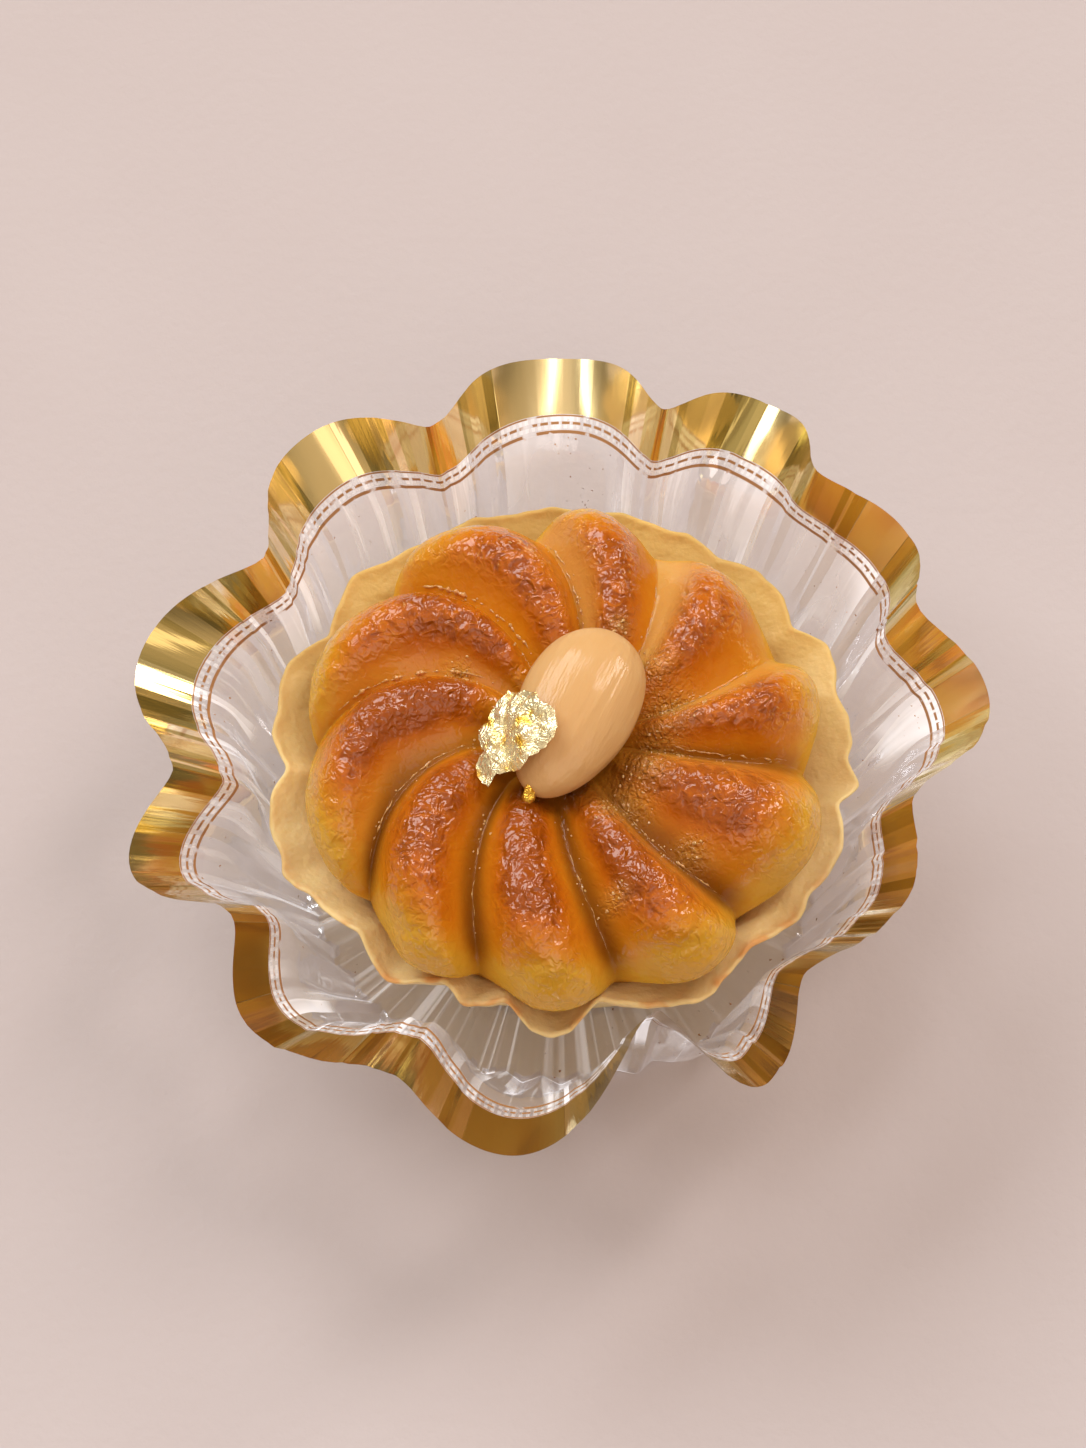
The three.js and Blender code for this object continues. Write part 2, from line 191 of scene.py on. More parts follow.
# Petals: azimuth of the groove on the clockwise side at the rim and near the almond, how late it bends,
# how far the petal stands out sideways and up, how far its crest lies towards the clockwise groove,
# how wide the valley beside it is, how brown it is baked, how pale its later flank is
PETAL_KEYS = ("outer", "inner", "bend", "reach", "rise", "skew", "valley", "baked", "pale")
PETAL_ROWS = (
    (-137, -170, 1.5, 0.8, -0.2, 0.14, 1.3, 0.76, 0.0),
    (-107, -134, 1.0, 1.2, -0.3, 0.04, 1.4, 0.8, 0.0),
    (-76, -95, 0.7, 1.1, 0.0, -0.2, 1.35, 0.74, 0.1),
    (-43, -57, 1.7, 0.7, 0.2, -0.3, 1.3, 0.62, 0.15),
    (-3, -13, 2.0, -0.1, 0.1, -0.05, 1.5, 0.48, 0.4),
    (28, 10, 1.3, -1.2, 0.0, -0.1, 1.9, 0.5, 0.85),
    (69, 38, 0.8, 0.0, 0.2, 0.0, 1.3, 0.56, 0.6),
    (99, 74, 0.9, 0.2, 0.3, 0.26, 1.1, 0.56, 0.0),
    (138, 113, 1.4, -0.3, 0.2, 0.4, 1.0, 0.7, 0.2),
    (181, 144, 1.2, -0.1, 0.4, 0.42, 1.0, 0.88, 0.15),
)
PETALS = tuple(dict(zip(PETAL_KEYS, row)) for row in PETAL_ROWS)
GROOVE_INNER_RADIUS = 8.0
GROOVE_OUTER_RADIUS = 28.5
PETAL_FLATNESS = 2.1
# Radius and height of a petal's crest, then of the groove beside it, from the middle out and down
PASTE_ROWS = (
    (4.0, 28.0, 4.0, 27.4),
    (8.0, 29.9, 8.0, 28.3),
    (11.0, 31.4, 11.0, 28.8),
    (14.5, 32.3, 14.2, 28.8),
    (18.0, 32.6, 17.4, 28.5),
    (21.2, 32.4, 20.4, 27.9),
    (24.2, 31.4, 23.0, 26.8),
    (26.8, 29.4, 25.0, 25.3),
    (28.6, 26.8, 26.2, 23.6),
    (29.3, 24.0, 26.8, 21.8),
    (28.3, 21.6, 26.6, 20.4),
    (26.4, 18.0, 26.0, 18.0),
    (24.8, 13.2, 24.8, 13.2),
    (22.5, 6.8, 22.5, 6.8),
    (20.4, 2.6, 20.4, 2.6),
)
PASTE_MIDDLE_HEIGHT = 27.2
# The lumps and wrinkles stand out from this place on the middle axis
PASTE_HEART = (0, 0, 14)
PETAL_COLUMNS = 56
COLUMN_CROWDING = 0.4
SHOWN_STEPS = 10
ROWS_PER_SHOWN_STEP = 15
ROWS_PER_HIDDEN_STEP = 2
# Heights or radii between which the forms of the petals set in, or fade out where that is said
REACH_HEIGHTS = (18, 24)
REACH_RADII = (18, 28)
RISE_RADII = (6, 14)
SKEW_FADE_RADII = (18, 27)
CRUST_HEIGHTS = (19, 23)
# Lumps of the paste: height, waves per millimetre and seed
PASTE_LUMPS = ((0.3, 0.11, 3.0), (0.13, 0.4, 8.0))
WRINKLE_HEIGHT = 0.16
WRINKLE_WAVES = 0.7
# Radii between which a feature sets in and then fades out
WRINKLED_RADII = ((9, 12), (22, 27))
BROWNED_RADII = ((7, 12), (20.5, 29))
# Places across a petal, from -1 to 1, between which the browning fades and the pale flank sets in
BROWNED_SPAN = (0.2, 1.05)
BROWNED_SKEW = 0.45
PALE_SPAN = (0.2, 0.8)
BROWNED_HEIGHTS = (24, 28)
PALE_RADII = (24, 28)
# Tone of the bare paste, the radii over which it fades, and the waves of its blotches per millimetre
PASTE_TONE = 0.34
BARE_RADII = (23, 30)
BLOTCH_WAVES = 0.2
# Painted shade on the near side, with glaze pooled in it: down in the grooves, and in the middle under
# the almond
SHADE_AND_POOL_NEARNESS = (-6, 8)
GROOVE_SHADE_RADII = (25, 28)
MIDDLE_SHADE_RADII = (8.5, 11.5)
# Tones of the paste from bare to dark brown
PASTE_STOPS = ((0.0, "CE9A2E"), (0.22, "CA821B"), (0.45, "C47212"), (0.75, "B85F0E"), (1.0, "984808"))

# Line of glaze in the groove on each petal's clockwise side: how thick it is, how far it lies
# anticlockwise off the groove, and how many bubbles lie beside it
GLAZE_STRENGTHS = (0.5, 0.35, 0.4, 0.6, 0.7, 0.5, 0.4, 0.9, 1.4, 1.5)
GLAZE_SHIFTS = (-0.4, 0.0, 0.0, 0.3, 0.5, 0.0, 0.0, -0.4, -0.7, -0.7)
BUBBLE_COUNTS = (12, 10, 12, 16, 12, 6, 6, 8, 12, 12)
GLAZE_SIDES = 8
GLAZE_STEP = 0.1
GLAZE_RADII = ((10, 12), (23, 25.5))
# The line's mean girth, how far it swings about that, its least, and its sway to the sides
GLAZE_GIRTH = 0.06
GLAZE_GIRTH_SWING = 0.32
GLAZE_LEAST_GIRTH = 0.004
GLAZE_SWAY = 0.012
# Bubbles beside a line: least radius, how far out they reach, crowding inwards, and spread to the sides
BUBBLE_START = 9.5
BUBBLE_REACH = 15
BUBBLE_CROWDING = 1.4
BUBBLE_SPREAD = 0.5
BUBBLE_SIZES = (0.06, 0.18)
PATCH_BUBBLE_SIZES = (0.08, 0.24)
BUBBLE_FLATNESS = 0.4
BUBBLE_ROWS = 6
BUBBLE_COLUMNS = 8
# More froth: azimuth, radius, spread and number of bubbles
BUBBLE_PATCHES = (
    (-62, 11, 1.0, 8), (-48, 11, 1.5, 12), (-30, 10.5, 1.4, 10), (-8, 11, 1.6, 12),
    (12, 12, 1.8, 14), (33, 12, 1.4, 10), (60, 13, 0.8, 10), (150, 13, 0.8, 10),
    (-46, 20, 0.9, 6), (-74, 21, 0.8, 6),
)

# Blanched almond
GAP = 0.3
ALMOND_LENGTH = 20.6
ALMOND_WIDTH = 13.4
ALMOND_THICKNESS = 8.8
ALMOND_NARROWING = 0.16
ALMOND_CENTRE = (1.4, 0.3, 32.7)
ALMOND_AZIMUTH = 65
ALMOND_TILT = 4
ALMOND_ROWS = 110
ALMOND_COLUMNS = 120
# Long ribs and broad lumps, as shares of the girth
ALMOND_RIBS = 0.01
ALMOND_LUMPS = 0.012

# Gold leaf
LEAF_THICKNESS = 0.08
LEAF_CENTRE = (-5.5, -3.4)
LEAF_CRUMPLE = 0.35
# Off the almond it stays up by its stiffness, which dies away, and droops
LEAF_STIFFNESS = 1.5
LEAF_STIFFNESS_FADE = 1.5
LEAF_DROOP = 0.8
# Waves of the crumpling along X and Y
LEAF_FOLDS = ((1.9, 0.6), (-0.9, 2.3), (1.3, 0.0))
# Sharp creases: height, waves per millimetre and seed
LEAF_CREASES = ((1.0, 0.4, 3.0), (0.3, 0.9, 7.0), (0.1, 2.1, 1.0))
LEAF_CREASE_DEPTH = 0.5
LEAF_SWAY = 0.2
LEAF_RAGGEDNESS = 0.06
LEAF_COLUMNS = 160
LEAF_RINGS = 44
# Torn outline: azimuth and distance from the leaf's centre
LEAF_OUTLINE = (
    (-163, 2.9), (-150, 4.2), (-132, 5.1), (-117, 5.4), (-111, 4.1), (-93, 3.8),
    (-68, 3.6), (-42, 3.8), (-19, 4.6), (2, 5.2), (19, 5.0), (41, 4.0),
    (56, 4.7), (78, 4.7), (92, 5.3), (114, 4.5), (135, 3.4), (154, 3.7),
    (177, 3.3),
)

# Small scrap of gold beside the almond
CRUMB_CENTRE = (-3.5, -9.0, 32.4)
CRUMB_SIZE = (0.65, 0.5, 1.1)
CRUMB_LEAN = 65
CRUMB_TAPER = 0.45
CRUMB_LUMPS = 0.3
CRUMB_ROWS = 16
CRUMB_COLUMNS = 24

# Floor, camera and light
FLOOR_REACH = 20000.0
CAMERA_TARGET = (-2.0, 4.8, 20.4)
CAMERA_AZIMUTH = -90
CAMERA_ELEVATION = 65
CAMERA_DISTANCE = 400
CAMERA_LENS = 89.1
# Soft lights: name, azimuth, elevation, distance, width and height, how bright the face looks, and colour
LIGHTS = (
    ("window", 132, 42, 3500, (3000, 1850), 6.1, (0.92, 0.97, 0.985)),
    ("panel", 40, 48, 3500, (780, 2660), 10.0, (1.0, 0.93, 0.88)),
    ("fill", -75, 48, 2500, (2400, 1300), 1.3, (1.0, 0.87, 0.80)),
)
# Colours of the room on its near side and its far side
WALL_COLOURS = ((0.62, 0.49, 0.37, 1), (0.30, 0.25, 0.18, 1))
CEILING_COLOURS = ((0.55, 0.45, 0.385, 1), (0.34, 0.29, 0.25, 1))
LOWEST_COLOUR = (0.10, 0.08, 0.05, 1)
OVERHEAD_COLOUR = (0.84, 0.73, 0.66, 1)


def ease(value, start, end):
    """Rises smoothly from 0 to 1 as value goes from start to end."""
    share = np.clip((np.asarray(value, float) - start) / (end - start), 0, 1)
    return share * share * (3 - 2 * share)


def lerp(start, end, share):
    return start + (end - start) * share


def in_and_out(value, stretches):
    """Rises from 0 to 1 over the first stretch and falls back over the second."""
    return ease(value, *stretches[0]) * (1 - ease(value, *stretches[1]))


def turns(count):
    """A number of even azimuths in radians."""
    return TURN * np.arange(count) / count


def cylindrical(radius, azimuth, height):
    """Points at azimuths in radians."""
    radius, azimuth, height = np.broadcast_arrays(radius, azimuth, height)
    return np.stack([radius * np.cos(azimuth), radius * np.sin(azimuth), height], -1)


def level_place(azimuth, radius):
    """X and Y at an azimuth in degrees."""
    return radius * math.cos(math.radians(azimuth)), radius * math.sin(math.radians(azimuth))


def rough(points, frequency, octaves=3, seed=0.0):
    """Fractal noise at each point, about -1 to 1, with frequency in waves per millimetre."""
    places = np.asarray(points).reshape(-1, 3) * frequency + seed
    values = [noise.fractal(place, 1.0, 2.0, octaves) for place in places]
    return np.array(values).reshape(np.shape(points)[:-1])


def new_piece(name, materials, points, values=None, faces=None, smooth=True):
    """A mesh object from rings of points in millimetres, with numbers at the points under names."""
    if faces is None:
        faces = grid_faces(*points.shape[:2])
    mesh = bpy.data.meshes.new(name)
    mesh.from_pydata((points.reshape(-1, 3) * MM).tolist(), [], faces.tolist())
    for key, numbers in (values or {}).items():
        layer = mesh.attributes.new(key, "FLOAT", "POINT")
        layer.data.foreach_set("value", np.asarray(numbers, np.float32).reshape(-1))
    for material in materials:
        mesh.materials.append(material)
    mesh.polygons.foreach_set("use_smooth", [smooth] * len(mesh.polygons))
    mesh.update()
    piece = bpy.data.objects.new(name, mesh)
    bpy.context.scene.collection.objects.link(piece)
    return piece


def ball(rows, columns, taper=0.0):
    """A ball of radius 1, slimmer towards its top by the taper."""
    rise = np.linspace(-0.5 * math.pi, 0.5 * math.pi, rows)[:, None]
    width = np.cos(rise) * (1 - taper * np.sin(rise))
    return cylindrical(np.maximum(width, PINCH), turns(columns), np.sin(rise))


def grid_faces(rows, columns):
    """Quads between neighbouring rings of points."""
    row, column = np.meshgrid(np.arange(rows - 1), np.arange(columns), indexing="ij")
    beside = (column + 1) % columns
    below = row * columns
    above = below + columns
    return np.stack([below + column, below + beside, above + beside, above + column], -1).reshape(-1, 4)


def with_ends(values):
    """Rows of numbers with the first row and the last one doubled, for the closed ends of a body."""
    return {key: np.concatenate([rows[:1], rows, rows[-1:]]) for key, rows in values.items()}


def smooth_rows(rows, steps):
    """Rows of numbers on a smooth curve, cut into a number of steps between each two."""
    rows = np.asarray(rows, float)
    padded = np.vstack([2 * rows[0] - rows[1], rows, 2 * rows[-1] - rows[-2]])
    made = []
    for i, count in enumerate(steps):
        before, start, end, after = padded[i : i + 4]
        for share in np.arange(count) / count:
            linear = (end - before) * share
            square = (2 * before - 5 * start + 4 * end - after) * share**2
            cube = (3 * start - before - 3 * end + after) * share**3
            made.append(start + (linear + square + cube) / 2)
    return np.array(made + [rows[-1]])


# The film cup


def ruffle_at(azimuth):
    """Lean of the wall and of the band at azimuths in degrees."""
    marks = np.array(CUP_RUFFLE, float)
    first = marks[0, 0]
    closed = np.vstack([marks, marks[0] + (360, 0, 0)])
    turned = first + np.mod(azimuth - first, 360)
    later = np.searchsorted(closed[:, 0], turned, side="right")
    start, end = closed[later - 1], closed[later]
    share = ease(turned, start[:, 0], end[:, 0])
    climbing = later % 2 == 1
    even = np.where(climbing, share, 1 - share)
    outward = even + CUP_CREST_BREADTH * even * (1 - even)
    valley = np.where(climbing[:, None], start, end)
    crest = np.where(climbing[:, None], end, start)
    return lerp(valley[:, 1], crest[:, 1], outward), lerp(valley[:, 2], crest[:, 2], outward)


def film_profile(slants):
    """Azimuths round the cup, and the film's radius, height and lean in radians at each slant."""
    azimuths = np.arange(-180, 180, PROFILE_AZIMUTH_STEP)
    wall, band = ruffle_at(azimuths)
    step = PROFILE_SLANT_STEP
    walked = np.arange(0, slants[-1] + step, step)
    turned = ease(walked[:, None] + step / 2, CUP_BEND_START, CUP_WALL_SLANT)
    lean = np.radians(lerp(wall, band, turned))
    start = np.zeros((1, len(azimuths)))
    radius = CUP_BASE_RADIUS + np.vstack([start, np.cumsum(np.cos(lean) * step, axis=0)])
    height = FILM_BASE_HEIGHT + np.vstack([start, np.cumsum(np.sin(lean) * step, axis=0)])
    row = np.round(slants / step).astype(int)
    return azimuths, radius[row], height[row], lean[row]


def flat_stretches(azimuth):
    """Whether each azimuth in degrees is in a smooth stretch, and how pale the gold is painted there as a
    reflection.
    """
    flat, tone = np.zeros(len(azimuth), bool), np.zeros(len(azimuth))
    for start, end, pale in FLAT_STRETCHES:
        inside = np.mod(azimuth - start, 360) < end - start
        flat |= inside
        tone[inside] = pale
    return flat, tone


def film_folds():
    """Places and heights of the creases round the cup, first at the foot and then at the rim."""
    count = 2 * CUP_PLEATS
    fold = np.arange(count, dtype=float)
    half_face = FOLD_FACE[0] / 2
    foot_places = np.stack([fold - half_face, fold + half_face, fold + 0.5], 1)
    foot_heights = np.tile(((1.0, 1.0, 0.5), (0.0, 0.0, 0.5)), (CUP_PLEATS, 1))
    middle = fold + chance.uniform(-FOLD_WANDER, FOLD_WANDER, count)
    half_face = chance.uniform(*FOLD_FACE, count) / 2
    start, end = middle - half_face, middle + half_face
    share = chance.uniform(*CREASE_PLACES, count)
    next_start = np.append(start[1:], start[0] + count)
    rim_places = np.stack([start, end, lerp(end, next_start, share)], 1)
    face_height = chance.uniform(*FACE_HEIGHTS, count)
    fall = chance.uniform(-FACE_FALL, FACE_FALL, count)
    fall[chance.random(count) < FLAT_FOLDS] *= FLAT_FOLD_FALL
    crease = chance.uniform(-CREASE_HEIGHT, CREASE_HEIGHT, count)
    crease[chance.random(count) < FLAT_CREASES] = 0
    smooth = flat_stretches(middle * 360 / count)[0]
    face_height[smooth] = 0.5
    fall[smooth] = 0
    crease[smooth] = 0
    start, end = face_height + fall / 2, face_height - fall / 2
    rim_heights = np.stack([start, end, lerp(end, np.roll(start, -1), share) + crease], 1)
    return foot_places.ravel(), foot_heights.ravel(), rim_places.ravel(), rim_heights.ravel()


def between_knots(values, first_again):
    """Values at the columns: two close to each knot, and one halfway to the next."""
    following = np.append(values[1:], first_again)
    shares = (FOLD_SHARPNESS, 0.5, 1 - FOLD_SHARPNESS)
    return np.stack([lerp(values, following, share) for share in shares], 1).ravel()


def make_film_cup():
    """The film cup as one thin sheet: clear film, with the gold band as its second material."""
    wall_slants = np.arange(WALL_START, CUP_WALL_SLANT, FILM_ROW_STEP)
    band_slants = CUP_WALL_SLANT + np.linspace(0, CUP_BAND_WIDTH, BAND_ROWS)
    slants = np.concatenate([FOOT_SLANTS, wall_slants, band_slants])
    grid, radius, height, lean = film_profile(slants)
    foot_places, foot_heights, rim_places, rim_heights = film_folds()
    count = 2 * CUP_PLEATS
    # Each facet gets a glint at random: how bright a reflection is painted on its gold, and whether the
    # film there gets a milky painted highlight
    foot_glints, rim_glints = (chance.random(len(rim_places)) for _ in range(2))
    smooth, tone = flat_stretches(rim_places * 360 / count)
    rim_glints = np.where(smooth, tone, rim_glints)
    smooth, foot_glints, rim_glints = (np.repeat(part, 3) for part in (smooth, foot_glints, rim_glints))
    depth = np.interp(slants, *zip(*CUP_FOLD_DEPTHS))
    rings, glints = [], []
    for row, slant in enumerate(slants):
        loose = ease(slant, *FOLDS_CHANGE)
        places = lerp(foot_places, rim_places, loose)
        heights = lerp(foot_heights, rim_heights, loose)
        azimuth = between_knots(places, places[0] + count) * 360 / count
        offset = between_knots(heights, heights[0]) * depth[row]
        tilt = np.interp(azimuth, grid, lean[row], period=360)
        ring_radius = np.interp(azimuth, grid, radius[row], period=360)
        ring_height = np.interp(azimuth, grid, height[row], period=360)
        if row == 0:
            ring_radius = ring_radius + offset
        else:
            ring_radius = ring_radius + offset * np.sin(tilt)
            ring_height = ring_height - offset * np.cos(tilt)
        rings.append(cylindrical(ring_radius, np.radians(azimuth), ring_height))
        glints.append(lerp(foot_glints, rim_glints, ease(slant, *GLINTS_CHANGE)))
    base = [rings[0] * (share, share, 1) for share in BASE_RINGS]
    glints = np.array([0 * glints[0]] * len(base) + glints)
    points = np.array(base + rings)
    rows, columns = points.shape[:2]
    all_slants = np.concatenate([np.full(len(base), BASE_SLANT), slants])
    around = np.degrees(np.arctan2(points[..., 1], points[..., 0]))
    values = {
        "slant": np.repeat(all_slants, columns),
        "glint": glints,
        "milky_glow": np.interp(around, *zip(*MILKY_GLOW_ROUND_CUP), period=360),
        "creased": np.tile(np.where(smooth, SMOOTH_RELIEF, 1), rows),
    }
    cup = new_piece("film_cup", [clear_film(), gold_foil()], points, values)
    on_band = np.arange((rows - 1) * columns) // columns >= rows - BAND_ROWS
    cup.data.polygons.foreach_set("material_index", on_band.astype(int))
    return cup


# The dough shell


def flute_shares(azimuth):
    """How far the wall stands in or out, as a share of the flute depth, at even azimuths in degrees."""
    sharp = np.interp(azimuth, *zip(*SHELL_FLUTES), period=360)
    away = np.minimum(azimuth, 360 - azimuth)
    near = np.exp(-((away / FLUTE_SOFTNESS) ** 2))
    return np.fft.ifft(np.fft.fft(sharp) * np.fft.fft(near / near.sum())).real


def make_dough():
    """The dough shell as one closed body: up the outside, over the rim and down the inside."""
    azimuth = turns(SHELL_COLUMNS)
    flutes = flute_shares(np.degrees(azimuth))
    outside = np.array(SHELL_OUTSIDE)
    place = np.linspace(0, len(outside) - 1, SHELL_ROWS)
    profile = np.array([np.interp(place, np.arange(len(outside)), column) for column in outside.T]).T
    rings, toasted = [], []
    for radius, height, flute in profile:
        rings.append(cylindrical(radius + flute * flutes, azimuth, SHELL_BOTTOM + height))
        toasted.append(SHELL_WALL_TOAST * ease(height, *SHELL_TOASTED_HEIGHTS))
    rim_radius, rim_height, rim_flute = profile[-1]
    for inset, lift, share, toast in SHELL_LEDGE:
        out = rim_radius - inset + rim_flute * share * flutes
        rings.append(cylindrical(out, azimuth, SHELL_BOTTOM + rim_height + lift))
        toasted.append(toast)
    ledge_foot = rim_height + SHELL_LEDGE[-1][1]
    for radius, height, flute in profile[::-1]:
        lift = max(height + SHELL_THICKNESS / 3, SHELL_FLOOR)
        if lift < ledge_foot:
            inner = min(radius - SHELL_THICKNESS, rim_radius - SHELL_LEDGE[-1][0])
            inner = inner + flute * SHELL_INNER_FLUTES * flutes
            rings.append(cylindrical(inner, azimuth, SHELL_BOTTOM + lift))
            toasted.append(0.0)
    rings = [rings[0] * (PINCH, PINCH, 1), *rings, rings[-1] * (PINCH, PINCH, 1)]
    points = np.array(rings)
    shown = ease(points[..., 2], *SHELL_UNEVEN_HEIGHTS)
    sway = rough(points * (1, 1, 0.2), 0.13, 2, seed=11.0)
    points[..., 2] += shown * SHELL_SWAY * sway
    swell = 1 + shown * SHELL_SWELL * rough(points, 0.3, 2, seed=4.0)
    points[..., :2] *= swell[..., None]
    points[..., 2] -= SHELL_SAG * flutes * ease(-points[..., 1], *SHELL_SAG_NEARNESS) * shown
    near = SHELL_FAR_TOAST + (1 - SHELL_FAR_TOAST) * ease(-points[..., 1], *SHELL_TOAST_NEARNESS)
    values = {"toasted": near * np.array([0.0, *toasted, 0.0])[:, None]}
    return new_piece("dough_shell", [baked_dough()], points, values)


# The almond paste


def groove_azimuth(petal, radius):
    """Azimuth in radians of the groove on a petal's clockwise side."""
    share = np.clip((radius - GROOVE_INNER_RADIUS) / (GROOVE_OUTER_RADIUS - GROOVE_INNER_RADIUS), 0, 1)
    return np.radians(lerp(petal["inner"], petal["outer"], share ** petal["bend"]))


def over_almond(x, y):
    """Height of the almond's middle plane, the drop of its dent, and how far inside it a place is."""
    axis = math.radians(ALMOND_AZIMUTH)
    east = x - ALMOND_CENTRE[0]
    north = y - ALMOND_CENTRE[1]
    along = east * math.cos(axis) + north * math.sin(axis)
    across = north * math.cos(axis) - east * math.sin(axis)
    spread = 2 * GAP
    inside = 1 - (along / (ALMOND_LENGTH / 2 + spread)) ** 2 - (across / (ALMOND_WIDTH / 2 + spread)) ** 2
    drop = (ALMOND_THICKNESS / 2 + spread) * np.sqrt(np.maximum(inside, 0))
    plane = ALMOND_CENTRE[2] + along * math.tan(math.radians(ALMOND_TILT))
    return plane, drop, inside


def petal_points(rows, index, across):
    """Points of one petal, rows of the profile by places across, and how near each is to the crest."""
    petal = PETALS[index]
    following = PETALS[(index + 1) % len(PETALS)]
    crest_radius, crest_height, groove_radius, groove_height = (rows[:, i, None] for i in range(4))
    skew = petal["skew"] * (1 - ease(crest_radius, *SKEW_FADE_RADII))
    skewed = across + skew * (1 - across**2)
    bump = (1 - np.abs(skewed) ** PETAL_FLATNESS) ** petal["valley"]
    radius = lerp(groove_radius, crest_radius, bump)
    height = lerp(groove_height, crest_height, bump)
    shoulder = bump * ease(height, *REACH_HEIGHTS)
    radius = radius + shoulder * petal["reach"] * ease(radius, *REACH_RADII)
    height = height + shoulder * petal["rise"] * ease(radius, *RISE_RADII)
    right = groove_azimuth(petal, radius)
    left = groove_azimuth(following, radius) + (TURN if index + 1 == len(PETALS) else 0)
    points = cylindrical(radius, lerp(right, left, (across + 1) / 2), height)
    return points, np.broadcast_to(bump, height.shape)


def sink_dent(points):
    """The points with the almond's dent pressed into them."""
    plane, drop, inside = over_almond(points[..., 0], points[..., 1])
    points[..., 2] = np.where(inside > 0, np.minimum(points[..., 2], plane - drop), points[..., 2])
    return points


def frothiness(x, y):
    """How frothy the glaze is at each place, 0 to 1."""
    froth = np.zeros(np.shape(x))
    for azimuth, radius, spread, _ in BUBBLE_PATCHES:
        east, north = level_place(azimuth, radius)
        away = (x - east) ** 2 + (y - north) ** 2
        froth = np.maximum(froth, np.exp(-away / (3 * spread**2)))
    return froth


def petal_parts():
    """Points of all petals side by side, and how near each is to a crest, how baked and how pale."""
    hidden = len(PASTE_ROWS) - 1 - SHOWN_STEPS
    steps = [ROWS_PER_SHOWN_STEP] * SHOWN_STEPS + [ROWS_PER_HIDDEN_STEP] * hidden
    rows = smooth_rows(PASTE_ROWS, steps)[::-1]
    even = np.arange(PETAL_COLUMNS) / PETAL_COLUMNS
    across = lerp(2 * even - 1, -np.cos(math.pi * even), COLUMN_CROWDING)
    parts, crests, baked, pale = [], [], [], []
    for index, petal in enumerate(PETALS):
        points, crest = petal_points(rows, index, across)
        parts.append(points)
        crests.append(crest)
        off_middle = np.abs(across + BROWNED_SKEW * petal["skew"])
        browning = petal["baked"] * (1 - ease(off_middle, *BROWNED_SPAN))
        baked.append(np.broadcast_to(browning, crest.shape))
        pale.append(np.broadcast_to(petal["pale"] * ease(across, *PALE_SPAN), crest.shape))
    return [np.concatenate(part, axis=1) for part in (parts, crests, baked, pale)]


def make_petals():
    """The almond paste with its ten petals, and the same mesh to look up heights on."""
    points, crest, baked, pale = petal_parts()
    radius = np.hypot(points[..., 0], points[..., 1])
    shown = ease(points[..., 2], *CRUST_HEIGHTS)
    lumps = sum(height * rough(points, waves, 2, seed) for height, waves, seed in PASTE_LUMPS)
    wrinkled = ease(crest, 0.4, 1.0) * in_and_out(radius, WRINKLED_RADII)
    wrinkles = WRINKLE_HEIGHT * rough(points * (1, 1, 0.6), WRINKLE_WAVES, 2, seed=15.0) * wrinkled
    outward = points - PASTE_HEART
    outward /= np.linalg.norm(outward, axis=-1, keepdims=True)
    points = points + outward * ((lumps * ease(crest, 0, 0.6) + wrinkles) * shown)[..., None]
    browned = baked * in_and_out(radius, BROWNED_RADII) * ease(points[..., 2], *BROWNED_HEIGHTS)
    blotch = rough(points, BLOTCH_WAVES, 3, seed=30.0)
    tone = PASTE_TONE * (1 - ease(radius, *BARE_RADII)) + browned * (0.85 + 0.3 * blotch) + 0.08 * blotch
    nearness = ease(-points[..., 1], *SHADE_AND_POOL_NEARNESS)
    groove_shade_and_pool = (1 - ease(crest, 0.0, 0.5)) * (1 - ease(radius, *GROOVE_SHADE_RADII))
    middle_shade_and_pool = 1 - ease(radius, *MIDDLE_SHADE_RADII)
    values = {
        "tone": tone,
        "crest": crest,
        "pale": pale * (1 - ease(radius, *PALE_RADII)),
        "shade_and_pool": nearness * np.maximum(groove_shade_and_pool, middle_shade_and_pool),
        "wrinkled": wrinkled,
        "frothy": frothiness(points[..., 0], points[..., 1]),
    }
    middle = points[-1] * (PINCH, PINCH, 0) + (0, 0, PASTE_MIDDLE_HEIGHT)
    points = sink_dent(np.concatenate([points[:1] * (PINCH, PINCH, 1), points, middle[None]]))
    petals = new_piece("swirl_petals", [glazed_paste()], points, with_ends(values))
    faces = grid_faces(*points.shape[:2])
    return petals, BVHTree.FromPolygons(points.reshape(-1, 3).tolist(), faces.tolist())


def on_ground(ground, x, y):
    """Height of the paste under each place, from straight above."""
    down = Vector((0, 0, -1))
    return np.array([ground.ray_cast(Vector((*place, 60)), down)[0].z for place in zip(x, y)])


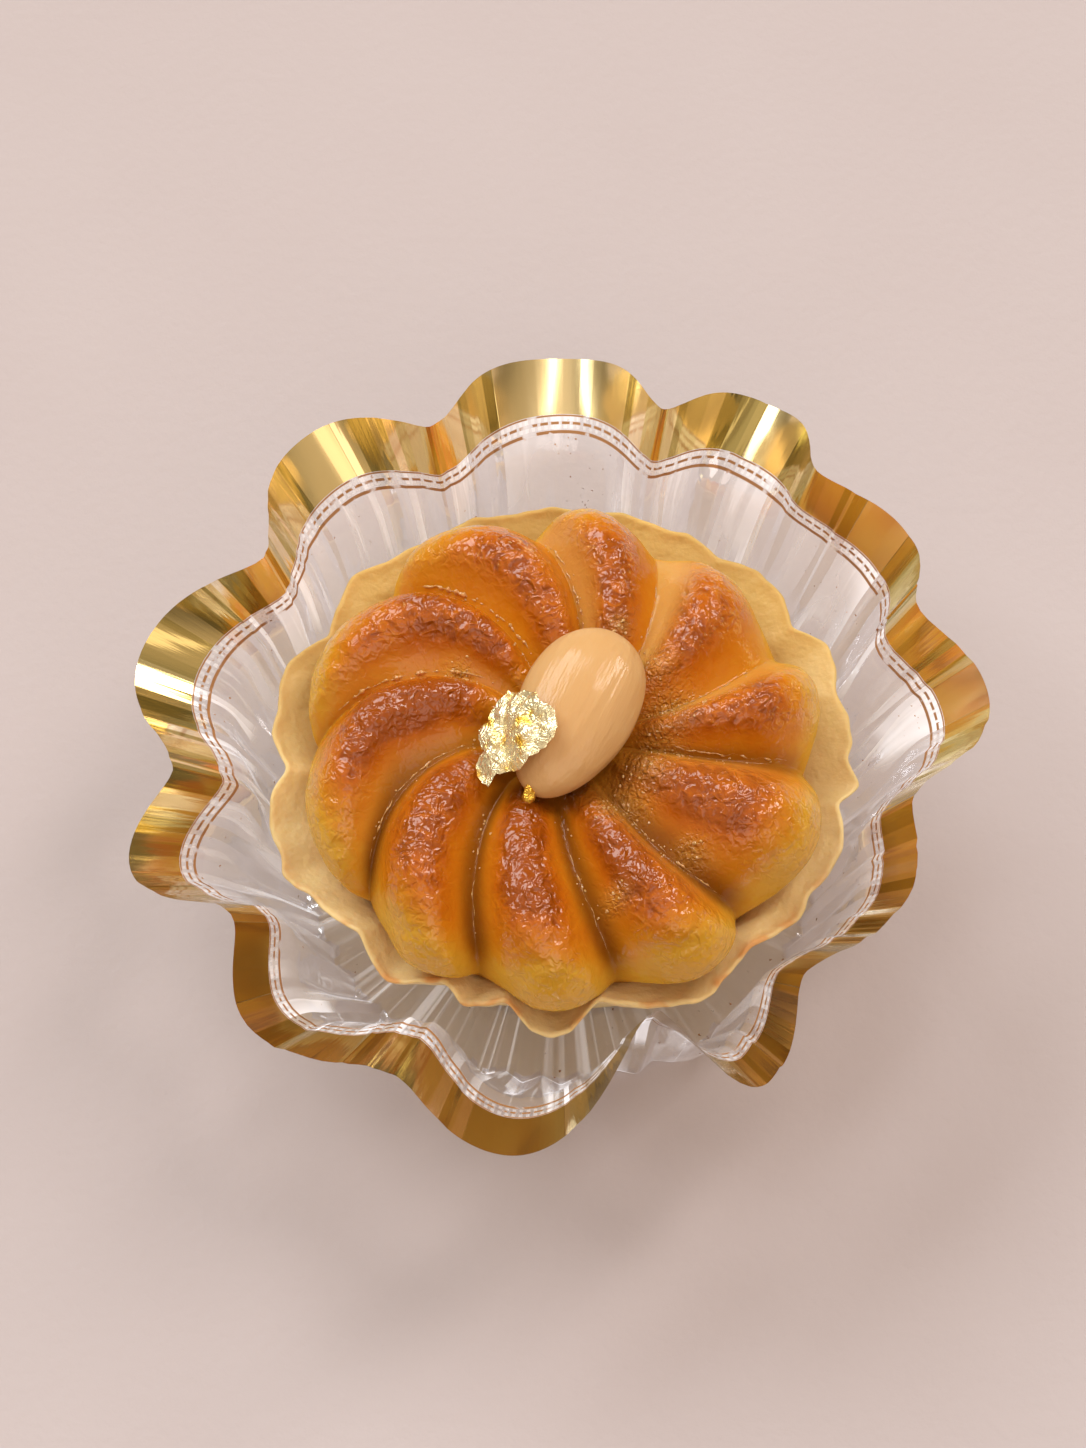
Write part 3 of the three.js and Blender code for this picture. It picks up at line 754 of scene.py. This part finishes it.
def make_glaze_lines(ground):
    """The thin frothy line of glaze that stands in each groove."""
    turn = turns(GLAZE_SIDES)
    radius = np.arange(GLAZE_RADII[0][0], GLAZE_RADII[1][1], GLAZE_STEP)
    points, faces = [], []
    for index, (petal, strength, shift) in enumerate(zip(PETALS, GLAZE_STRENGTHS, GLAZE_SHIFTS)):
        sway = GLAZE_SWAY * rough(cylindrical(radius, 0, 0), 0.6, 2, seed=60.0 + index)
        path = cylindrical(radius, groove_azimuth(petal, radius) + shift / radius + sway, 0)
        path[:, 2] = on_ground(ground, path[:, 0], path[:, 1])
        swing = GLAZE_GIRTH_SWING * rough(path, 1.3, 3, seed=40.0 + index)
        girth = np.maximum(strength * (GLAZE_GIRTH + swing), GLAZE_LEAST_GIRTH)
        girth = girth * in_and_out(radius, GLAZE_RADII)
        ahead = np.gradient(path, axis=0)
        ahead /= np.linalg.norm(ahead, axis=1, keepdims=True)
        side = np.cross(ahead, (0, 0, 1))
        up = np.cross(side, ahead)
        spokes = side[:, None] * np.cos(turn)[:, None] + up[:, None] * np.sin(turn)[:, None]
        points.append((path[:, None] + girth[:, None, None] * spokes).reshape(-1, 3))
        faces.append(grid_faces(len(radius), GLAZE_SIDES) + index * len(radius) * GLAZE_SIDES)
    faces = np.concatenate(faces)
    return new_piece("glaze_lines", [frothy_glaze()], np.concatenate(points), faces=faces)


def bubble_places():
    """Places and sizes of the bubbles: along both sides of the grooves, and thicker beside the almond."""
    x, y, size = [], [], []
    for petal, count in zip(PETALS, BUBBLE_COUNTS):
        radius = BUBBLE_START + BUBBLE_REACH * chance.random(count) ** BUBBLE_CROWDING
        beside = chance.normal(0, BUBBLE_SPREAD, count) / radius
        azimuth = groove_azimuth(petal, radius) + beside
        x.extend(radius * np.cos(azimuth))
        y.extend(radius * np.sin(azimuth))
        size.extend(chance.uniform(*BUBBLE_SIZES, count))
    for azimuth, radius, spread, count in BUBBLE_PATCHES:
        east, north = level_place(azimuth, radius)
        x.extend(east + chance.normal(0, spread, count))
        y.extend(north + chance.normal(0, spread, count))
        size.extend(chance.uniform(*PATCH_BUBBLE_SIZES, count))
    x, y, size = (np.array(part) for part in (x, y, size))
    clear = over_almond(x, y)[2] <= 0
    return x[clear], y[clear], size[clear]


def make_bubbles(ground):
    """Small domes of glaze froth that sit on the paste."""
    x, y, size = bubble_places()
    centres = np.stack([x, y, on_ground(ground, x, y)], -1)
    dome = ball(BUBBLE_ROWS, BUBBLE_COLUMNS) * size[:, None, None, None] * (1, 1, BUBBLE_FLATNESS)
    faces = grid_faces(BUBBLE_ROWS, BUBBLE_COLUMNS)
    faces = np.concatenate([faces + BUBBLE_ROWS * BUBBLE_COLUMNS * index for index in range(len(x))])
    return new_piece("bubbles", [frothy_glaze()], centres[:, None, None] + dome, faces=faces)


# The almond and the gold leaf


def make_almond():
    """The whole almond, narrower at one end, lying tilted in its dent."""
    place = -np.cos(math.pi * np.arange(1, ALMOND_ROWS) / ALMOND_ROWS)
    turn = turns(ALMOND_COLUMNS)
    girth = np.sqrt(1 - place**2) * (1 + ALMOND_NARROWING * place) * (1 - ALMOND_NARROWING / 4)
    tilt = math.radians(90 - ALMOND_TILT)
    azimuth = math.radians(ALMOND_AZIMUTH)
    level = np.array([math.cos(azimuth), math.sin(azimuth), 0])
    length = level * math.sin(tilt) + np.array([0, 0, math.cos(tilt)])
    thick = level * math.cos(tilt) - np.array([0, 0, math.sin(tilt)])
    wide = np.array([-math.sin(azimuth), math.cos(azimuth), 0])
    along = place[:, None] * ALMOND_LENGTH / 2 * np.ones_like(turn)
    across = girth[:, None] * np.sin(turn) * ALMOND_WIDTH / 2
    through = girth[:, None] * np.cos(turn) * ALMOND_THICKNESS / 2
    local = np.stack([along, across, through], -1)
    ribs = ALMOND_RIBS * rough(local * (0.1, 1, 1), 0.8, 2, seed=5.0)
    swell = 1 + ribs + ALMOND_LUMPS * rough(local, 0.12, 2, seed=9.0)
    across = across * swell
    through = through * swell
    points = along[..., None] * length + across[..., None] * wide + through[..., None] * thick
    points = points + ALMOND_CENTRE
    tips = [ALMOND_CENTRE + side * ALMOND_LENGTH / 2 * length for side in (-1, 1)]
    ends = [np.tile(tip, (1, ALMOND_COLUMNS, 1)) for tip in tips]
    points = np.concatenate([ends[0], points, ends[1]])
    values = with_ends({"along": along, "across": across})
    return new_piece("whole_almond", [blanched_almond()], points, values)


def leaf_height(x, y):
    """Underside of the leaf: it follows the almond and rests over the petals beside it."""
    plane, drop, inside = over_almond(x, y)
    beside = LEAF_STIFFNESS * np.exp(LEAF_STIFFNESS_FADE * np.minimum(inside, 0))
    rest = plane + np.maximum(drop, beside) - LEAF_DROOP * ease(-inside, 0, 1)
    long, cross, fine = (np.sin(a * x + b * y) for a, b in LEAF_FOLDS)
    return rest + GAP + LEAF_CRUMPLE * (1 + (long + cross * fine) / 2)


def creased(places, waves, seed):
    """Sharp folds as in crumpled foil, about 0 to 1."""
    shift = Vector((seed, seed, 0))
    return np.array([noise.voronoi(Vector(place) * waves + shift)[0][0] for place in places])


def make_leaf():
    """The crumpled scrap of gold leaf, torn all round."""
    turn = turns(LEAF_COLUMNS)
    reach = np.interp(np.degrees(turn), *zip(*LEAF_OUTLINE), period=360)
    reach = reach * (1 + LEAF_RAGGEDNESS * rough(cylindrical(3, turn, 0), 2.2, 2, seed=2.0))
    share = np.linspace(0.01, 1, LEAF_RINGS)[:, None]
    x = LEAF_CENTRE[0] + reach * share * np.cos(turn)
    y = LEAF_CENTRE[1] + reach * share * np.sin(turn)
    flat = np.stack([x, y, 0 * x], -1)
    places = flat.reshape(-1, 3)
    folds = sum(height * creased(places, waves, seed) for height, waves, seed in LEAF_CREASES)
    height = leaf_height(x, y) + LEAF_CREASE_DEPTH * (folds.reshape(x.shape) - folds.mean())
    sideways = LEAF_SWAY * rough(flat, 0.8, 2, seed=6.0)
    levels = [np.stack([x + sideways, y - sideways, height + lift], -1) for lift in (0, LEAF_THICKNESS)]
    points = np.concatenate([levels[0], levels[1][::-1]])
    metal = gold_leaf_metal("gold_leaf_metal", "F8EABC")
    return new_piece("leaf_scrap", [metal], points, smooth=False)


def make_crumb():
    """The scrap of gold that hangs beside the almond."""
    points = ball(CRUMB_ROWS, CRUMB_COLUMNS, CRUMB_TAPER) * CRUMB_SIZE
    points = points * (1 + CRUMB_LUMPS * rough(points, 1.6, 2, seed=12.0))[..., None]
    lean = math.radians(CRUMB_LEAN)
    y = points[..., 1] * math.cos(lean) + points[..., 2] * math.sin(lean)
    z = points[..., 2] * math.cos(lean) - points[..., 1] * math.sin(lean)
    points = np.stack([points[..., 0], y, z], -1) + CRUMB_CENTRE
    metal = gold_leaf_metal("gold_crumb_metal", "E6B040")
    return new_piece("gold_crumb", [metal], points)


# Nodes


def srgb(code):
    """Linear colour of a six-digit code."""
    parts = [int(code[i : i + 2], 16) / 255 for i in (0, 2, 4)]
    return (*(((part + 0.055) / 1.055) ** 2.4 if part > 0.04 else part / 12.92 for part in parts), 1.0)


def set_inputs(node, inputs):
    """Sets each input to a number or the colour of a code, or links it to another node's output."""
    for name, value in inputs.items():
        if isinstance(value, bpy.types.NodeSocket):
            node.id_data.links.new(value, node.inputs[name])
        elif isinstance(value, str):
            node.inputs[name].default_value = srgb(value)
        else:
            node.inputs[name].default_value = value


def add(kind, inputs, tree=None, **settings):
    """A new node in the tree, or else in the tree that its inputs come from."""
    if tree is None:
        tree = next(value.id_data for value in inputs.values() if isinstance(value, bpy.types.NodeSocket))
    made = tree.nodes.new("ShaderNode" + kind)
    for name, value in settings.items():
        setattr(made, name, value)
    set_inputs(made, inputs)
    return made


def maths(operation, *values):
    return add("Math", dict(enumerate(values)), operation=operation).outputs[0]


def vector_maths(operation, inputs):
    return add("VectorMath", inputs, operation=operation).outputs[0]


def times(*values):
    product = values[0]
    for value in values[1:]:
        product = maths("MULTIPLY", product, value)
    return product


def veiled(*shares):
    """What covers a surface when several thin covers lie over each other."""
    bare = 1.0
    for share in shares:
        bare = maths("MULTIPLY", bare, maths("SUBTRACT", 1.0, share))
    return maths("SUBTRACT", 1.0, bare)


def mixed(share, first, second):
    return add("Mix", {0: share, 6: first, 7: second}, data_type="RGBA").outputs[2]


def step_between(value, low, high, start=0.0, end=1.0):
    """Goes smoothly from start to end as value goes from low to high."""
    inputs = {"Value": value, "From Min": low, "From Max": high, "To Min": start, "To Max": end}
    return add("MapRange", inputs, interpolation_type="SMOOTHSTEP").outputs[0]


def grain(place, waves, detail=3.0, distortion=0.0):
    """Noise from 0 to 1, with waves per millimetre."""
    inputs = {"Vector": place, "Scale": waves, "Detail": detail, "Distortion": distortion}
    return add("TexNoise", inputs).outputs[0]


def patches(place, waves, detail, low, high):
    """Soft patches of noise, 1 where it is over high and 0 where it is under low."""
    return step_between(grain(place, waves, detail), low, high)


def round_the_cup(place, slant, drift):
    """Places on a circle with a little drift up the film, so that noise there runs in radial streaks."""
    level = vector_maths("MULTIPLY", {0: place, 1: (1.0, 1.0, 0.0)})
    outward = vector_maths("NORMALIZE", {0: level})
    lift = add("CombineXYZ", {"Z": times(slant, drift)}).outputs[0]
    return vector_maths("MULTIPLY_ADD", {0: outward, 1: (STREAK_RADIUS,) * 3, 2: lift})


def attribute(place, name):
    """The number that the mesh carries there under a name."""
    return add("Attribute", {}, place.id_data, attribute_name=name).outputs["Fac"]


def axes(place):
    return add("SeparateXYZ", {"Vector": place}).outputs


def relief(*layers):
    """Normal with layers of relief over each other, each a height and its depth in millimetres."""
    normal = {}
    for height, depth in layers:
        inputs = {"Height": height, "Distance": depth * MM, "Strength": 1.0, **normal}
        normal = {"Normal": add("Bump", inputs).outputs[0]}
    return normal["Normal"]


def ramp(value, *stops):
    """Colour along a row of stops, each a place and a colour code."""
    made = add("ValToRGB", {0: value})
    elements = made.color_ramp.elements
    while len(elements) < len(stops):
        elements.new(0.5)
    for element, (place, code) in zip(elements, stops):
        element.position = place
        element.color = srgb(code)
    return made.outputs[0]


def new_material(name):
    """A new material, and places on it in millimetres."""
    made = bpy.data.materials.new(name)
    made.use_nodes = True
    place = add("TexCoord", {}, made.node_tree).outputs["Object"]
    return made, vector_maths("SCALE", {0: place, "Scale": 1 / MM})


def shaded(made, inputs):
    """The material, with these inputs on its Principled node."""
    set_inputs(made.node_tree.nodes["Principled BSDF"], inputs)
    return made


def soft(weight, radius, depth):
    """Inputs for light that spreads under the surface, with its depth in millimetres."""
    return {"Subsurface Weight": weight, "Subsurface Radius": radius, "Subsurface Scale": depth * MM}


def coated(weight, roughness, surface):
    """Inputs for a clear coat that follows the surface's relief."""
    return {"Coat Weight": weight, "Coat Roughness": roughness, "Normal": surface, "Coat Normal": surface}


# Materials


def print_stripe(slant, start, end):
    """1 between two slants, with a soft edge."""
    rise = step_between(slant, start - PRINT_SOFTNESS, start + PRINT_SOFTNESS)
    fall = step_between(slant, end - PRINT_SOFTNESS, end + PRINT_SOFTNESS, 1.0, 0.0)
    return times(rise, fall)


def film_print(place, slant):
    """How white and how golden the print makes the film: rows of beads, then lines, dashes and specks."""
    parts = axes(place)
    azimuth = maths("ARCTAN2", parts["Y"], parts["X"])
    beads = step_between(maths("SINE", times(azimuth, BEADS_ROUND_CUP)), -0.6, 0.4, 0.1, 0.36)
    dashes = step_between(maths("SINE", times(azimuth, DASHES_ROUND_CUP)), -0.9, -0.5)
    rows = maths("ADD", *(print_stripe(slant, *row) for row in BEAD_ROWS))
    lines = maths("ADD", *(print_stripe(slant, *line) for line in PRINT_LINES))
    dashed = times(print_stripe(slant, *DASHED_LINE), dashes)
    worn = patches(place, 0.5, 2.0, 0.32, 0.44)
    printed = times(maths("ADD", dashed, lines), worn)
    scattered = patches(place, 0.11, 1.0, 0.5, 0.6)
    specks = times(patches(place, 1.5, 2.0, 0.7, 0.72), scattered)
    return times(rows, beads), times(maths("MAXIMUM", printed, specks), 0.95)


def film_milk_and_glow(place, slant, around, glint):
    """How milky the film is, with painted glow and highlights: whole facets, radial bands, and a painted
    highlight along the fold at its foot.
    """
    lengthwise = round_the_cup(place, slant, 0.3)
    fading = step_between(grain(lengthwise, 0.1, 1.0), 0.38, 0.56, 0.25, 1.0)
    bands = patches(around, 0.3, 2.0, 0.54, 0.62)
    thin_bands = patches(around, 1.1, 2.0, 0.56, 0.68)
    # Whole facets and bands go milky white: partly milky film, partly painted highlights where the pleats
    # would catch the lamps
    facets = step_between(glint, 0.55, 0.95)
    streaks = veiled(times(facets, 0.6), times(bands, 0.28), times(thin_bands, 0.25))
    streaks = times(streaks, fading, attribute(place, "milky_glow"))
    # A painted highlight along the fold at the foot, on the near side only
    near_side = step_between(axes(place)["Y"], -20.0, -26.0, 0.0, 0.8)
    foot = times(print_stripe(slant, *FOOT_GLINT), near_side)
    return maths("MAXIMUM", maths("MULTIPLY_ADD", streaks, 0.85, 0.06), foot)


def film_mirror(glint):
    """How much of a mirror the film is: most at a grazing angle, and more on the grey facets."""
    facing = add("LayerWeight", {"Blend": 0.5}, glint.id_data).outputs["Facing"]
    edge = maths("MULTIPLY_ADD", maths("POWER", facing, 4.0), 0.75, 0.06)
    grey = times(step_between(glint, 0.4, 0.05), 0.32)
    return maths("MINIMUM", maths("ADD", edge, grey), 0.95)


def clear_film():
    made, place = new_material("clear_film")
    slant = attribute(place, "slant")
    glint = attribute(place, "glint")
    around = round_the_cup(place, slant, 0.05)
    white, golden = film_print(place, slant)
    milk_and_glow_share = film_milk_and_glow(place, slant, around, glint)
    mirror = film_mirror(glint)
    share = veiled(veiled(milk_and_glow_share, white, golden), mirror)
    painted_glow = times(milk_and_glow_share, maths("SUBTRACT", 1.0, golden))
    inputs = {
        "Base Color": mixed(golden, "F8F8FC", "A06A24"),
        "Metallic": maths("DIVIDE", mirror, share),
        "Roughness": 0.08,
        "Specular IOR Level": 0.0,
        # Painted glow: the milky streaks give off light of their own, standing in for lamp light through
        # the film
        "Emission Color": mixed(painted_glow, "000000", "F6F8FF"),
        "Emission Strength": 0.7,
        "Normal": relief((grain(place, 0.22, 2.0), 0.15), (grain(around, 0.3, 2.0), 0.45)),
    }
    nodes = shaded(made, inputs).node_tree.nodes
    through = add("BsdfTransparent", {"Color": (0.98, 0.98, 0.985, 1)}, made.node_tree).outputs[0]
    both = add("MixShader", {0: share, 1: through, 2: nodes["Principled BSDF"].outputs[0]})
    set_inputs(nodes["Material Output"], {"Surface": both.outputs[0]})
    return made


def gold_foil():
    made, place = new_material("gold_foil")
    creasing = attribute(place, "creased")
    around = round_the_cup(place, attribute(place, "slant"), 0.03)
    # Painted reflections: each facet's gold is made darker or paler by its glint, with random blotches
    gold_and_reflection = ramp(attribute(place, "glint"), *FOIL_REFLECTION_STOPS)
    gold_and_reflection = mixed(times(grain(around, 0.35, 1.0), 0.4), gold_and_reflection, "D8BE74")
    parts = axes(place)
    # Paler, yellower-green gold on the right: a painted reflection
    right = times(step_between(parts["X"], 24.0, 34.0), step_between(parts["Y"], -14.0, 2.0))
    gold_and_reflection = mixed(times(right, 0.4), gold_and_reflection, "DCD68A")
    broad = times(grain(around, 0.4, 1.0), creasing)
    fine = times(grain(around, 1.8, 2.0), creasing)
    inputs = {
        # Darker brown gold on the near side: painted shade, for the dim near room that the foil reflects
        # there
        "Base Color": mixed(step_between(parts["Y"], 0.0, -26.0, 0.0, 0.6), gold_and_reflection, "96742A"),
        "Metallic": 0.88,
        "Roughness": maths("MULTIPLY_ADD", creasing, -0.1, 0.23),
        "Normal": relief((broad, 0.12), (fine, 0.05)),
    }
    return shaded(made, inputs)


def baked_dough():
    made, place = new_material("baked_dough")
    crumb = grain(place, 1.6, 4.0)
    patchy = patches(place, 0.3, 2.0, 0.42, 0.62)
    toasted = times(attribute(place, "toasted"), maths("MULTIPLY_ADD", patchy, 0.65, 0.1))
    # Darker and yellower on the far side: painted shade where the lamps light the rim most, and yellower
    # dough there
    far_side = step_between(axes(place)["Y"], -12.0, 22.0, 0.0, 0.75)
    colour = mixed(grain(place, 0.14, 3.0), "E6CD92", "DDBC78")
    colour = mixed(times(crumb, 0.25), colour, "F0DFB8")
    colour = mixed(far_side, colour, "CDA552")
    inputs = {
        "Base Color": mixed(toasted, colour, "CC8339"),
        "Roughness": 0.5,
        "Specular IOR Level": 0.3,
        **soft(0.25, (1.0, 0.7, 0.35), 1.5),
        "Normal": relief((grain(place, 0.5, 2.0), 0.25), (crumb, 0.1)),
    }
    return shaded(made, inputs)


def glazed_paste():
    made, place = new_material("glazed_paste")
    frothy = attribute(place, "frothy")
    on_top = step_between(attribute(place, "crest"), 0.35, 0.9)
    folds = maths("SUBTRACT", grain(place, 0.56, 1.0, 0.7), 0.5)
    ridges = times(maths("ABSOLUTE", folds), attribute(place, "wrinkled"))
    tone = maths("SUBTRACT", attribute(place, "tone"), 0.17)
    tone = maths("MULTIPLY_ADD", grain(place, 1.1, 4.0), 0.24, tone)
    # Darker down in the hollows of the wrinkles: painted shade
    tone = maths("MULTIPLY_ADD", ridges, 1.7, tone)
    colour = ramp(tone, *PASTE_STOPS)
    colour = mixed(times(attribute(place, "pale"), 0.75), colour, "D2A65E")
    # Dark brown on the near side: painted shade in the grooves and under the almond, with pooled glaze
    colour = mixed(times(attribute(place, "shade_and_pool"), 0.75), colour, "622E0A")
    swells = times(grain(place, 0.4, 1.0), on_top)
    small = times(grain(place, 1.1, 1.0, 0.8), maths("MULTIPLY_ADD", on_top, 0.7, 0.3))
    froth = times(grain(place, 1.7, 1.0, 0.6), frothy)
    surface = relief((swells, 0.5), (ridges, -0.78), (small, 0.26), (froth, 0.9))
    inputs = {
        "Base Color": mixed(times(frothy, 0.4), colour, "CC9444"),
        "Roughness": 0.5,
        "Specular IOR Level": 0.0,
        **soft(0.2, (1.0, 0.4, 0.1), 1.5),
        **coated(maths("MULTIPLY_ADD", on_top, 0.5, 0.5), 0.05, surface),
    }
    return shaded(made, inputs)


def frothy_glaze():
    made, place = new_material("frothy_glaze")
    froth = grain(place, 2.5, 2.0)
    surface = relief((froth, 0.2))
    inputs = {
        "Base Color": mixed(froth, "B47230", "DCA860"),
        "Roughness": 0.3,
        **soft(0.3, (1.0, 0.5, 0.2), 1.0),
        **coated(1.0, 0.08, surface),
    }
    return shaded(made, inputs)


def blanched_almond():
    made, place = new_material("blanched_almond")
    drawn_out = times(attribute(place, "along"), 0.07)
    local = {"X": drawn_out, "Y": attribute(place, "across"), "Z": axes(place)["Z"]}
    veins = grain(add("CombineXYZ", local).outputs[0], 1.1, 3.0)
    colour = mixed(grain(place, 0.12, 2.0), "D4AA74", "CE9E64")
    surface = relief((veins, 0.16))
    inputs = {
        "Base Color": mixed(times(veins, 0.25), colour, "C98F52"),
        "Roughness": 0.5,
        "Specular IOR Level": 0.1,
        **soft(0.25, (1.0, 0.7, 0.4), 2.0),
        **coated(0.5, 0.1, surface),
    }
    return shaded(made, inputs)


def gold_leaf_metal(name, palest):
    made, place = new_material(name)
    pale = patches(place, 0.5, 3.0, 0.31, 0.5)
    crinkles = maths("ABSOLUTE", maths("SUBTRACT", grain(place, 0.8, 2.0, 1.2), 0.5))
    inputs = {
        "Base Color": mixed(pale, "EDBE48", palest),
        "Metallic": 0.75,
        "Roughness": 0.22,
        "Normal": relief((grain(place, 2.4, 1.0), 0.04), (crinkles, -0.5)),
    }
    return shaded(made, inputs)


def pale_floor():
    made, place = new_material("pale_floor")
    # Darker towards the far side: painted shade that evens out the lamps, which light the far floor more
    far_side = step_between(axes(place)["Y"], -150.0, 200.0)
    colour = mixed(far_side, "C3B9B9", "BCB1B0")
    inputs = {
        "Base Color": mixed(times(grain(place, 0.03, 4.0), 0.4), colour, "B1A3A1"),
        "Roughness": 0.9,
        "Specular IOR Level": 0.2,
        "Normal": relief((grain(place, 0.7, 4.0), 0.1)),
    }
    return shaded(made, inputs)


# Floor, camera and light


def make_floor():
    corners = np.array([[-1, -1, 0], [1, -1, 0], [1, 1, 0], [-1, 1, 0]]) * FLOOR_REACH
    floor = new_piece("floor", [pale_floor()], corners, faces=np.array([[0, 1, 2, 3]]))


def aimed(data, azimuth, elevation, distance):
    """A camera or light that looks at the target from that azimuth and elevation."""
    around, up = math.radians(azimuth), math.radians(elevation)
    way = Vector((math.cos(up) * math.cos(around), math.cos(up) * math.sin(around), math.sin(up)))
    offset = way * distance * MM
    item = bpy.data.objects.new(data.name, data)
    item.location = Vector(CAMERA_TARGET) * MM + offset
    item.rotation_euler = offset.to_track_quat("Z", "Y").to_euler()
    bpy.context.scene.collection.objects.link(item)
    return item


def make_camera():
    data = bpy.data.cameras.new("camera")
    data.lens = CAMERA_LENS
    data.sensor_width = 36
    data.clip_start = 0.01
    bpy.context.scene.camera = aimed(data, CAMERA_AZIMUTH, CAMERA_ELEVATION, CAMERA_DISTANCE)


def make_light(name, azimuth, elevation, distance, size, brightness, colour):
    """A soft rectangular light, its size as width and height."""
    data = bpy.data.lights.new(name, "AREA")
    data.shape = "RECTANGLE"
    data.size = size[0] * MM
    data.size_y = size[1] * MM
    data.energy = brightness * math.pi * data.size * data.size_y
    data.color = colour
    aimed(data, azimuth, elevation, distance)


def make_world():
    """Plain room: pale overhead, warm towards the walls, and dimmer on the far side."""
    world = bpy.data.worlds.new("room")
    world.use_nodes = True
    bpy.context.scene.world = world
    parts = axes(add("TexCoord", {}, world.node_tree).outputs["Generated"])
    height = parts["Z"]
    far = step_between(parts["Y"], -0.2, 0.3)
    wall = mixed(far, *WALL_COLOURS)
    ceiling = mixed(far, *CEILING_COLOURS)
    low = mixed(step_between(height, 0.0, 0.5), LOWEST_COLOUR, wall)
    high = mixed(step_between(height, 0.94, 0.98), ceiling, OVERHEAD_COLOUR)
    colour = mixed(step_between(height, 0.6, 0.85), low, high)
    set_inputs(world.node_tree.nodes["Background"], {"Color": colour, "Strength": 1.0})


def dress(piece, slot, *nodes):
    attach(piece, "root")
    if nodes:
        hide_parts(*nodes)


make_camera()
make_floor()
make_world()
for light in LIGHTS:
    make_light(*light)
bpy.context.scene.view_settings.view_transform = "Standard"

dress(make_film_cup(), "gold_edged_film", "case")
dress(make_dough(), "dough", "pastry_shell")
petals, ground = make_petals()
dress(petals, "glazed_paste", "almond_paste")
dress(make_glaze_lines(ground), "glazed_paste")
dress(make_bubbles(ground), "glazed_paste")
dress(make_almond(), "almond", "almond")
dress(make_leaf(), "gold_leaf", "gold_leaf")
dress(make_crumb(), "gold_leaf")
